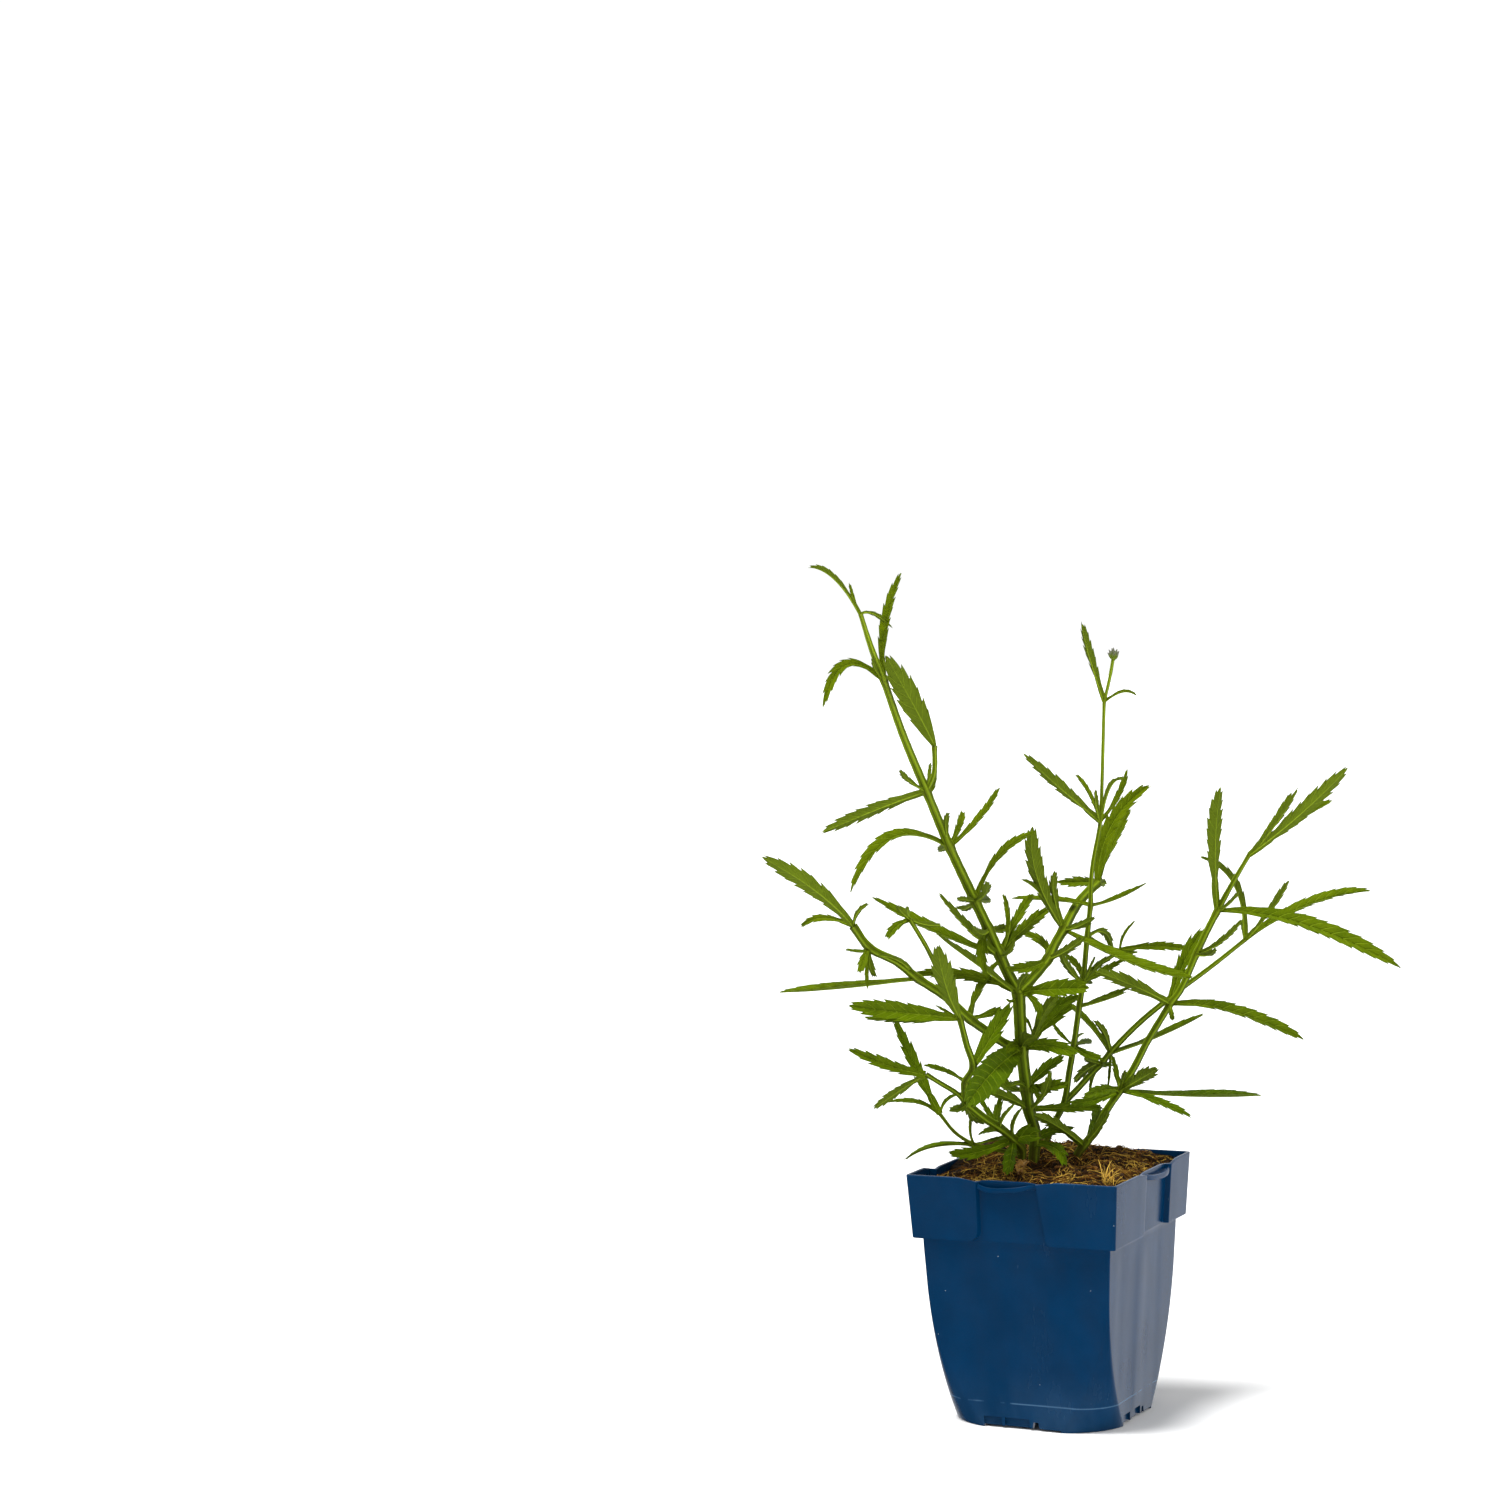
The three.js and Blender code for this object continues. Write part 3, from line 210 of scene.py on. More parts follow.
# Each leafy stem has branches and leaves. A branch is its width at both ends, whether it stands in the
# soil, and the points it runs through. A row of leaves is the point they grow from, and then each leaf: the
# x and z of its middle, the x, z and depth of its tip, and the width that the viewer sees.
LEAFY_STEMS = {
    "leafy_stem_middle": {
        "branches": [
            ((4.6, 5.6), True, (-8, 127, 0), (-7, 139.5, 0), (-10, 152, -1), (-11, 162, -2), (-13, 182, -3),
             (-14, 210.5, -4)),
            ((5, 4.4), False, (-14, 210.5, -4), (-19.5, 221, -6), (-23, 229.5, -8), (-28.5, 242.5, -11),
             (-35, 257, -15)),
            ((4.4, 3), False, (-35, 257, -15), (-47, 284, -22), (-58, 312, -27), (-69, 340, -33),
             (-78, 367.5, -37)),
            ((3.2, 1.8), False, (-78, 367.5, -37), (-84, 384, -39), (-89, 401, -40)),
            ((4.4, 4), False, (-14, 210.5, -4), (-8.5, 216, 0), (1, 227.5, 8), (4.5, 234.5, 13),
             (9, 242, 18), (16.5, 255, 30), (26, 265, 38)),
            ((4, 3.4), False, (-13, 182, -3), (-21, 185, -8), (-29, 190.5, -15), (-38.5, 197.5, -23),
             (-50, 208.5, -31), (-64.5, 218.5, -38), (-75, 227, -44), (-88, 234, -48), (-96, 245, -51)),
            ((2.4, 2), False, (-13, 182, -3), (-10, 186, 3), (-7, 187.5, 6)),
            ((2.2, 2.2), False, (-58, 312, -27), (-54, 321, -29), (-53.5, 334.5, -31)),
        ],
        "leaves": [
            ((-8.5, 134.5, 0), (2.5, 132.5, 7.5, 124, -24, 6.8), (-0.5, 140.5, 12, 142, 12, 6)),
            ((-10, 152, -1), (7, 152.5, 26.5, 152.5, 19, 5.6), (-19, 157.5, -30, 161.5, -14, 6.2),
             (-3, 159, 1, 171.5, -26, 4.4)),
            ((-11, 162, -2), (-3, 171, 8, 178.5, 16, 6.6), (-19, 163, -24, 169, 20, 6.2),
             (-1, 163, 9, 164.5, -24, 7.2), (-14.5, 165, -19.5, 163.5, -15, 3.4),
             (-8, 162.5, -5, 157, -14, 3.8)),
            ((-13, 182, -3), (-1, 184, 14.5, 179.5, -20, 8), (-26, 172.5, -41, 153.5, -68, 15.8),
             (-16, 184.5, -20.5, 181, -18, 6), (-10.5, 187.5, -6.5, 188.5, -22, 8.6)),
            ((-7, 187.5, 6), (-2, 200, 5, 209, -10, 6.6), (2, 197, 12.5, 204.5, 14, 7.6),
             (3.5, 202, 18, 208.5, 30, 6), (-9, 194.5, -12.5, 200, 10, 1.6)),
            ((-14, 210.5, -4), (-38, 219.5, -67, 220.5, 8, 6.8), (4, 212.5, 21, 212.5, -26, 9.4),
             (-6, 206, -4, 197, -24, 4.4), (-34.5, 226.5, -54.5, 241.5, -32, 2),
             (-17, 206.5, -20, 207.5, -12, 2), (-12.5, 217, -9, 220, -28, 4)),
            ((-38.5, 197.5, -23), (-28, 200.5, -22.5, 202.5, -12, 4.6), (-34, 212.5, -22, 228, 12, 4.6)),
            ((-64.5, 218.5, -38), (-99, 216, -133.5, 212.5, -46, 2.6),
             (-72.5, 227.5, -83.5, 230.5, -52, 1.8)),
            ((-88, 234, -48), (-91, 228.5, -93, 221.5, -66, 4.6), (-88, 226.5, -85.5, 219.5, -40, 4),
             (-89.5, 225, -89.5, 214, -52, 2.4), (-92.5, 232.5, -100, 233.5, -30, 1.6)),
            ((-96, 245, -51), (-115, 264, -141, 280.5, -62, 9.2), (-111.5, 249.5, -122, 245, -42, 4),
             (-93.5, 252, -88.5, 256, -58, 2.8)),
            ((-23, 229.5, -8), (-52, 241.5, -86, 259.5, 6, 5.4), (-19, 230.5, -15.5, 237, -30, 2.6),
             (-18.5, 245.5, -21, 260, 8, 2.6), (-38, 243.5, -52.5, 261, -32, 4.2),
             (-14, 248, -6, 260, 18, 5.4), (-10.5, 243, 2, 252.5, 28, 6.8)),
            ((-28.5, 242.5, -11), (-32.5, 240.5, -36.5, 244, -44, 4.6), (-32, 233.5, -30.5, 221, -30, 6.4),
             (-23, 242.5, -17, 243.5, 14, 5.2)),
            ((-35, 257, -15), (-22, 280, -4.5, 290.5, -4, 4.4), (-38.5, 257.5, -44, 258, -40, 3.6),
             (-38.5, 253.5, -44, 253.5, 6, 4), (-30, 261, -29, 266.5, -54, 4.4),
             (-30.5, 257.5, -27, 257.5, 22, 5)),
            ((-47, 284, -22), (-32.5, 298, -22, 313, -10, 4), (-76, 290, -97, 262, -42, 4.8),
             (-48.5, 295, -47, 301, -34, 3.2), (-42, 294.5, -40.5, 301.5, -8, 4.2),
             (-49.5, 284, -52.5, 281.5, 14, 4)),
            ((-53.5, 334.5, -31), (-63, 354, -77, 380, -46, 12.4)),
            ((-58, 312, -27), (-83.5, 303.5, -110.5, 292.5, -14, 7.2), (-66.5, 317.5, -71, 323, -46, 3.2),
             (-56.5, 319.5, -56, 326, -8, 2), (-54.5, 314.5, -53.5, 329.5, -20, 2.6)),
            ((-78, 367.5, -37), (-77, 396, -68.5, 421, -28, 5.2), (-97, 376, -108.5, 355, -52, 5.2),
             (-82, 373.5, -83.5, 379, -48, 2)),
            ((-89, 401, -40), (-101.5, 419.5, -113.5, 425, -46, 2.6), (-92.5, 409.5, -94, 416, -32, 1.6),
             (-82.5, 401, -74, 394.5, -32, 2.6)),
            ((1, 227.5, 8), (-7.5, 223.5, -19.5, 222.5, -18, 6.4), (-2, 236, -13.5, 241, 30, 5.2),
             (10, 231.5, 19, 238, -10, 5.2)),
            ((9, 242, 18), (-3.5, 269, -5.5, 293.5, 6, 9), (4.5, 260, 5.5, 270.5, 12, 4.8),
             (16, 243.5, 24, 247.5, 2, 4.6), (-1.5, 260, -11, 267, 12, 2.6), (40, 227, 72, 217, -14, 5.4)),
            ((26, 265, 38), (33.5, 294, 52.5, 313, 48, 8.4), (33, 283, 43, 301, 66, 5),
             (19, 265.5, 6, 265.5, 62, 6.2), (27.5, 265, 30.5, 265.5, 68, 5.2)),
        ],
    },
    "leafy_stem_bud": {
        "branches": [
            ((3.2, 2.7), True, (-2.5, 131.5, 25), (-1, 137, 26), (2, 144, 25), (7.5, 155, 22),
             (10.5, 171, 21), (13, 184, 20)),
            ((2.7, 2.3), False, (13, 184, 20), (16, 203.5, 20), (18, 215, 20), (20.5, 238, 20),
             (22.5, 254, 20)),
            ((2.1, 1.5), False, (22.5, 254, 20), (23.5, 271.5, 21), (27, 289.5, 22), (28, 295.5, 22),
             (31, 355, 24)),
            ((1.5, 1.5), False, (31, 355, 24), (34, 367, 25), (36, 377.5, 25)),
            ((2.8, 2.4), False, (7.5, 155, 22), (14, 161.5, 26), (20.5, 168.5, 29), (26.5, 174.5, 31),
             (31, 180, 33), (46, 195, 36), (66, 211, 38)),
            ((2.2, 1.8), False, (66, 211, 38), (82.5, 223, 38), (98.5, 235.5, 38)),
            ((2, 1.4), False, (20.5, 238, 20), (28.5, 233.5, 26), (36.5, 231, 30)),
        ],
        "leaves": [
            ((13, 184, 20), (18, 185.5, 22, 186, 50, 3.8), (15, 188.5, 18, 190, 34, 1.4),
             (18, 180, 27.5, 176.5, 6, 4.6), (7, 189, 2, 196, 34, 2.4)),
            ((16, 203.5, 20), (27, 207, 41.5, 212.5, 40, 3), (25.5, 206, 38.5, 210, 8, 1.4)),
            ((18, 215, 20), (11.5, 222, 7, 230.5, 4, 4.6), (15.5, 223.5, 8.5, 230, 40, 4),
             (24, 222.5, 35.5, 229.5, 12, 3.8), (25.5, 219.5, 40.5, 227.5, 42, 4),
             (21, 221.5, 24, 228, 12, 1.6), (20, 215.5, 23, 215, 38, 2.6)),
            ((20.5, 238, 20), (28.5, 240.5, 33, 230.5, 40, 4.4)),
            ((36.5, 231, 30), (38.5, 238.5, 44, 245.5, 36, 1.6), (55, 233, 71.5, 231, 44, 5),
             (41, 230, 45, 230, 18, 2.2)),
            ((22.5, 254, 20), (35, 257.5, 50, 264.5, 32, 2.2), (4, 257.5, -16.5, 258, 36, 2.8)),
            ((28, 295.5, 22), (10, 312, -9.5, 330, 8, 6.2), (23, 309.5, 16.5, 319, 34, 2.6),
             (26.5, 304, 26, 311, 8, 2.4), (27, 301, 24, 305, 34, 1.8), (37, 308, 41.5, 320.5, 36, 3.6),
             (33, 313.5, 40, 316, 12, 1.6)),
            ((31, 355, 24), (25, 376.5, 21, 393.5, 14, 4.6), (40, 360, 47, 358, 32, 1.4)),
            ((26.5, 174.5, 31), (21, 176, 18, 177.5, 12, 3.4), (20, 172.5, 12.5, 165, 48, 5.2),
             (27.5, 174, 31.5, 173.5, 14, 3.4), (22, 168, 20.5, 159.5, 40, 1.6)),
            ((31, 180, 33), (17.5, 198.5, 2, 210, 50, 3.2), (28.5, 189.5, 23.5, 196, 22, 4),
             (55, 189, 77, 198.5, 48, 2.6), (30.5, 172, 29.5, 163, 30, 1.6)),
            ((98.5, 235.5, 38), (94, 263.5, 77.5, 277, 32, 4), (129, 253.5, 160, 259, 48, 5.2),
             (111, 250.5, 120, 264.5, 30, 3.6), (97.5, 241, 98, 246.5, 58, 2.4)),
        ],
        "buds": (36, 376, 25),
    },
    "leafy_stem_right": {
        "branches": [
            ((4, 3.3), True, (13.5, 128, 10), (17, 133.5, 10), (23, 140.5, 9), (28, 150, 8),
             (35.5, 161, 8)),
            ((3.3, 3), False, (35.5, 161, 8), (43, 173, 9), (49, 184.5, 11), (61, 204, 14)),
            ((3, 3), False, (61, 204, 14), (66, 210.5, 15), (74.5, 229, 16), (80, 240.5, 17),
             (85, 250, 18)),
            ((2.8, 1.8), False, (85, 250, 18), (92, 262.5, 18), (101, 277.5, 18)),
        ],
        "leaves": [
            ((17, 133.5, 10), (3.5, 144, -7, 149, -18, 6.8), (23, 145, 24, 154, 40, 6.6),
             (23.5, 141.5, 29.5, 151, 2, 4.8)),
            ((35.5, 161, 8), (71, 159.5, 105, 158, 22, 2.4), (54, 155.5, 70, 147.5, -10, 4.4),
             (45.5, 167, 54, 172, -24, 8), (37, 167, 38, 171, -10, 2.6), (34, 168.5, 32, 178.5, 22, 3.4),
             (28, 161.5, 17.5, 158, -20, 6), (23.5, 156.5, 10.5, 155, -10, 5.2)),
            ((61, 204, 14), (43.5, 213.5, 24, 221, -2, 7.6), (67.5, 224, 77, 240.5, 30, 7.6),
             (93.5, 200.5, 126.5, 185.5, 22, 6.4), (61.5, 199, 62, 196, -6, 3)),
            ((74.5, 229, 16), (86.5, 235, 97, 245.5, -2, 3.4), (80, 228.5, 84, 231.5, -12, 3)),
            ((85, 250, 18), (84, 284.5, 87.5, 311.5, 8, 7.6), (127, 244, 174.5, 220.5, 6, 8.2),
             (92, 255, 96, 260.5, 2, 2)),
            ((101, 277.5, 18), (126.5, 298, 150, 320, 8, 8.4), (121, 292.5, 142, 304, 30, 3.8),
             (113, 293, 122, 308, 26, 3.4), (114.5, 294, 125, 309.5, 12, 3.4)),
        ],
    },
    "leafy_stem_left": {
        "branches": [
            ((4, 3.4), True, (-14, 127, -5), (-14, 132.5, -7.5), (-18, 137, -11.5), (-25, 143, -18),
             (-32, 147.5, -25), (-41.5, 155.5, -32)),
            ((3.4, 2.6), False, (-41.5, 155.5, -32), (-41.5, 166, -36), (-37.5, 173.5, -39),
             (-40.5, 185, -42), (-43.5, 198, -46)),
            ((2.2, 1.8), False, (-43.5, 198, -46), (-48, 210, -50), (-54, 222, -54), (-59, 233, -57),
             (-67.5, 248, -62)),
            ((2.2, 2), False, (-41.5, 155.5, -32), (-45.5, 160, -34), (-54, 165.5, -36), (-61, 170, -37)),
            ((2.2, 1.7), False, (-14.5, 130, -6), (-20, 130.5, -8), (-28, 132, -8), (-37.5, 134.5, -5),
             (-47, 140.5, -2), (-54.5, 150, 0)),
        ],
        "leaves": [
            ((-18, 137, -9.5), (-19.5, 129.5, -21.5, 119, -36, 7), (-35.5, 131, -50, 130, -26, 7),
             (-26.5, 142, -35.5, 139.5, 8, 3.6), (-18, 145.5, -13, 153.5, -28, 2.2),
             (-12, 139, -6.5, 138.5, -20, 10.2)),
            ((-25, 143, -18), (-26, 149, -23.5, 159, 4, 4.8), (-30, 150.5, -35, 158.5, -2, 3.2),
             (-22.5, 149, -17, 155, -40, 2.4)),
            ((-41.5, 155.5, -32), (-43.5, 153, -49.5, 152, -54, 5.2), (-38.5, 149.5, -32.5, 145, -2, 5.6)),
            ((-41.5, 166, -36), (-50.5, 171.5, -62, 175, -18, 3)),
            ((-37.5, 173.5, -39), (-28.5, 188.5, -18.5, 204.5, -27, 9)),
            ((-43.5, 198, -46), (-71.5, 201.5, -99, 205, -62, 10), (-68, 198, -91, 199, -30, 5),
             (-50, 215, -54, 234.5, -68, 10.8), (-50, 201.5, -55, 204.5, -44, 1.6)),
            ((-67.5, 248, -62), (-72, 252.5, -73.5, 255, -72, 2.8), (-68.5, 252, -68.5, 254.5, -44, 2.2),
             (-74.5, 244.5, -79, 239, -74, 4.8), (-60, 245.5, -52, 245, -50, 3)),
            ((-61, 170, -37), (-77.5, 174, -99.5, 183.5, -50, 6.6), (-75.5, 161.5, -87.5, 153, -24, 5)),
            ((-37.5, 134.5, -5), (-58, 134.5, -72, 127.5, 6, 1.8), (-39.5, 142.5, -38, 150.5, -10, 1.6),
             (-27, 137, -21, 138.5, 10, 2.4)),
            ((-54.5, 150, 0), (-65, 171.5, -76.5, 198.5, 12, 7), (-66.5, 156.5, -79.5, 156.5, 16, 3),
             (-50.5, 157.5, -42, 161, 14, 1.8)),
        ],
    },
}
WITHERED_LEAF = ((-11.4, 126.3, -8), (-14.6, 122.6, -16.2, 119.2, -30, 5.2))


# Settings

class VERBENA_PG_pot(bpy.types.PropertyGroup):
    """Sizes and colours of the nursery pot."""

    rim_width: FloatProperty(
        name="Rim width", description="Width of the collar across the rim", default=0.110, unit="LENGTH")
    height: FloatProperty(
        name="Height", description="Height of the pot to its rim", default=POT_TOP.z, unit="LENGTH")
    wall: FloatProperty(
        name="Wall", description="Thickness of the moulded wall", default=0.0014, unit="LENGTH")
    navy: FloatVectorProperty(
        name="Navy", description="Colour of the moulded plastic", size=4, subtype="COLOR",
        min=0, max=1, default=(0.0, 0.027, 0.082, 1))
    # The pale colour of scuffs, also painted near the foot as a reflection of the floor
    scuff_and_floor_reflection: FloatVectorProperty(
        name="Scuffed", description="Colour of scuffs and of the worn rim", size=4, subtype="COLOR",
        min=0, max=1, default=(0.045, 0.11, 0.20, 1))


class VERBENA_PG_soil(bpy.types.PropertyGroup):
    """Colours and amounts of the soil and its loose fibres."""

    fibres: IntProperty(name="Fibres", description="Number of loose coir fibres", default=2800)
    crumbs: IntProperty(name="Crumbs", description="Number of loose crumbs", default=620)
    fibre_length: FloatProperty(
        name="Fibre length", description="Length of the longest fibres", default=0.021, unit="LENGTH")
    peat: FloatVectorProperty(
        name="Peat", description="Colour of the moist soil", size=4, subtype="COLOR",
        min=0, max=1, default=(0.016, 0.008, 0.0035, 1))
    coir: FloatVectorProperty(
        name="Coir", description="Colour of the dry fibres", size=4, subtype="COLOR",
        min=0, max=1, default=(0.86, 0.54, 0.09, 1))


class VERBENA_PG_foliage(bpy.types.PropertyGroup):
    """Sizes and colours of the stems and leaves."""

    blade_thickness: FloatProperty(
        name="Blade thickness", description="Thickness of a leaf", default=0.00036, unit="LENGTH")
    tooth_spacing: FloatProperty(
        name="Tooth spacing", description="Distance between the teeth of a large leaf", default=0.0052,
        unit="LENGTH")
    tooth_depth: FloatProperty(
        name="Tooth depth", description="How far the teeth are cut into the blade", default=0.0011,
        unit="LENGTH")
    fold: FloatProperty(
        name="Fold", description="How steeply a blade rises from its midrib", default=0.4, min=0, max=1)
    # High leaves are lighter and low ones darker, partly by their age and partly as painted shade
    young_green: FloatVectorProperty(
        name="Young green", description="Upper side of the high leaves", size=4, subtype="COLOR",
        min=0, max=1, default=(0.104, 0.148, 0.001, 1))
    deep_green: FloatVectorProperty(
        name="Deep green", description="Upper side of the low leaves", size=4, subtype="COLOR",
        min=0, max=1, default=(0.074, 0.124, 0.0008, 1))
    under_green: FloatVectorProperty(
        name="Under green", description="Underside of the leaves", size=4, subtype="COLOR",
        min=0, max=1, default=(0.105, 0.150, 0.010, 1))
    rib_green: FloatVectorProperty(
        name="Rib green", description="Midribs and veins", size=4, subtype="COLOR",
        min=0, max=1, default=(0.29, 0.40, 0.020, 1))
    stem_green: FloatVectorProperty(
        name="Stem green", description="Stems", size=4, subtype="COLOR",
        min=0, max=1, default=(0.130, 0.190, 0.002, 1))
    # Its brown at the foot is partly painted shade near the soil
    stem_blush_and_shade: FloatVectorProperty(
        name="Stem blush", description="Brown tint of the nodes and the foot", size=4, subtype="COLOR",
        min=0, max=1, default=(0.050, 0.040, 0.006, 1))
    withered: FloatVectorProperty(
        name="Withered", description="Dry leaf", size=4, subtype="COLOR",
        min=0, max=1, default=(0.50, 0.26, 0.06, 1))


class VERBENA_PG_stage(bpy.types.PropertyGroup):
    """Floor, light and camera."""

    floor_size: FloatProperty(
        name="Floor size", description="Side of the floor", default=24, unit="LENGTH")
    floor_colour: FloatVectorProperty(
        name="Floor colour", description="Colour of the floor", size=4, subtype="COLOR",
        min=0, max=1, default=(0.90, 0.90, 0.90, 1))
    key_strength: FloatProperty(
        name="Key strength", description="Strength of the broad soft light overhead", default=4.7, min=0)
    fill_strength: FloatProperty(
        name="Fill strength", description="Strength of the soft light from the front", default=0.73, min=0)
    side_strength: FloatProperty(
        name="Side strength", description="Strength of the soft light from the right", default=1.7, min=0)
    surround: FloatProperty(
        name="Surround", description="Brightness of the white surround", default=1.0, min=0)
    ambient: FloatProperty(
        name="Ambient", description="Share of the surround that lights matt surfaces", default=0.38, min=0,
        max=1)
    lens: FloatProperty(
        name="Lens", description="Focal length of the camera", default=84, unit="CAMERA")


# Nodes of the materials

class Nodes:
    """Places nodes in a tree and links them. A value is another node's socket, a number or a colour."""

    def __init__(self, tree):
        self.tree = tree

    def link(self, value, socket):
        if isinstance(value, bpy.types.NodeSocket):
            self.tree.links.new(value, socket)
        else:
            socket.default_value = value

    def add(self, kind, values=None, **settings):
        node = self.tree.nodes.new(kind)
        for key, setting in settings.items():
            setattr(node, key, setting)
        for key, value in (values or {}).items():
            self.link(value, node.inputs[key])
        return node

    def math(self, operation, *values):
        return self.add("ShaderNodeMath", dict(enumerate(values)), operation=operation).outputs[0]

    def plus(self, first, second):
        return self.math("ADD", first, second)

    def minus(self, first, second):
        return self.math("SUBTRACT", first, second)

    def times(self, first, second):
        return self.math("MULTIPLY", first, second)

    def larger(self, first, second):
        return self.math("MAXIMUM", first, second)

    def apart(self, value, middle):
        """How far a value lies from a middle, to either side."""
        return self.math("ABSOLUTE", self.minus(value, middle))

    def mix(self, share, first, second):
        values = {0: share, 6: first, 7: second}
        return self.add("ShaderNodeMix", values, data_type="RGBA").outputs[2]

    def between(self, value, low, high, least=0, most=1):
        """Rises smoothly from least to most as the value goes from low to high."""
        values = {"Value": value, "From Min": low, "From Max": high, "To Min": least, "To Max": most}
        return self.add("ShaderNodeMapRange", values, interpolation_type="SMOOTHSTEP").outputs["Result"]

    def stretched(self, vector, scale):
        return self.add("ShaderNodeMapping", {"Vector": vector, "Scale": scale}).outputs["Vector"]

    def grain(self, vector, scale, detail=3.0, roughness=0.55):
        values = {"Vector": vector, "Scale": scale, "Detail": detail, "Roughness": roughness}
        return self.add("ShaderNodeTexNoise", values).outputs["Fac"]

    def parts(self, vector):
        return self.add("ShaderNodeSeparateXYZ", {0: vector}).outputs

    def mark(self, name):
        """The three numbers that a piece's points carry under a name."""
        return self.parts(self.add("ShaderNodeAttribute", attribute_name=name).outputs["Vector"])

    def effect(self, name, **values):
        """A shared effect with this material's own values."""
        node = self.add("ShaderNodeGroup", node_tree=effect_group(name))
        for key, value in values.items():
            self.link(value, node.inputs[key])
        return node.outputs


class Finish(Nodes):
    """A material in the making: its nodes, its shader's sockets, and the mottle that all of it shares."""

    def __init__(self, name, specular, patches, grain, contrast):
        self.material = bpy.data.materials.new(name)
        self.material.use_nodes = True
        super().__init__(self.material.node_tree)
        self.shader = self.tree.nodes["Principled BSDF"].inputs
        self.shader["Specular IOR Level"].default_value = specular
        self.place = self.add("ShaderNodeTexCoord").outputs["Object"]
        mottle = self.effect("Mottle", Place=self.place, Patches=patches, Grain=grain, Contrast=contrast)
        self.mottle, self.height = mottle["Mask"], mottle["Height"]

    def mottled(self, least=0, most=1):
        """Runs from least to most over the mottle."""
        return self.between(self.mottle, 0, 1, least, most)

    def done(self, colour, roughness, relief=None, distance=0.0, strength=1.0):
        """Links what the shader shows, and hands over the material."""
        self.link(colour, self.shader["Base Color"])
        self.link(roughness, self.shader["Roughness"])
        if relief is not None:
            values = {"Height": relief, "Distance": distance, "Strength": strength}
            self.link(self.add("ShaderNodeBump", values).outputs["Normal"], self.shader["Normal"])
        return self.material


def wire_mottle(nodes, given, put):
    """Uneven colour in two sizes of patch, with the height of a fine grain."""
    patches = nodes.grain(given["Place"], given["Patches"], 2.0)
    grain = nodes.grain(given["Place"], given["Grain"], 3.0, 0.6)
    both = nodes.plus(nodes.times(patches, 0.65), nodes.times(grain, 0.35))
    spread = nodes.times(nodes.minus(both, 0.5), given["Contrast"])
    nodes.link(nodes.plus(nodes.times(spread, 4.0), 0.5), put["Mask"])
    nodes.link(grain, put["Height"])


def wire_specks(nodes, given, put):
    """A thin scatter of small round specks, such as dust."""
    cells = nodes.add("ShaderNodeTexVoronoi", {"Vector": given["Place"], "Scale": given["Spacing"]})
    near = nodes.math("LESS_THAN", cells.outputs["Distance"], given["Size"])
    chance = nodes.add("ShaderNodeSeparateColor", {0: cells.outputs["Color"]}).outputs[0]
    chosen = nodes.math("LESS_THAN", chance, given["Share"])
    nodes.link(nodes.times(near, chosen), put["Mask"])


def wire_veins(nodes, given, put):
    """Side veins that slant from the midrib out to the teeth."""
    run = nodes.math("FRACT", nodes.minus(given["Tooth"], nodes.times(given["Share"], VEIN_SLANT)))
    nodes.link(nodes.between(nodes.apart(run, 0.5), given["Edge"], 0.49), put["Mask"])


# Each shared effect: how it is wired, its inputs with their defaults, and its outputs
EFFECTS = {
    "Mottle": (
        wire_mottle, {"Place": None, "Patches": 60.0, "Grain": 900.0, "Contrast": 0.5}, ("Mask", "Height")),
    "Specks": (wire_specks, {"Place": None, "Spacing": 300.0, "Share": 0.1, "Size": 0.12}, ("Mask",)),
    "Veins": (wire_veins, {"Tooth": 0.0, "Share": 0.0, "Edge": 0.36}, ("Mask",)),
}


def effect_group(name):
    """The node group of a shared effect, built for the first material that asks for it."""
    if name in bpy.data.node_groups:
        return bpy.data.node_groups[name]
    wire, inputs, outputs = EFFECTS[name]
    group = bpy.data.node_groups.new(name, "ShaderNodeTree")
    for title, default in inputs.items():
        kind = "NodeSocketVector" if default is None else "NodeSocketFloat"
        socket = group.interface.new_socket(title, in_out="INPUT", socket_type=kind)
        if default is not None:
            socket.default_value = default
    for title in outputs:
        group.interface.new_socket(title, in_out="OUTPUT", socket_type="NodeSocketFloat")
    nodes = Nodes(group)
    wire(nodes, nodes.add("NodeGroupInput").outputs, nodes.add("NodeGroupOutput").inputs)
    return group


def shade(colour, share):
    """A colour made darker, or lighter with a share above one."""
    return tuple(share * part for part in colour[:3]) + (1,)


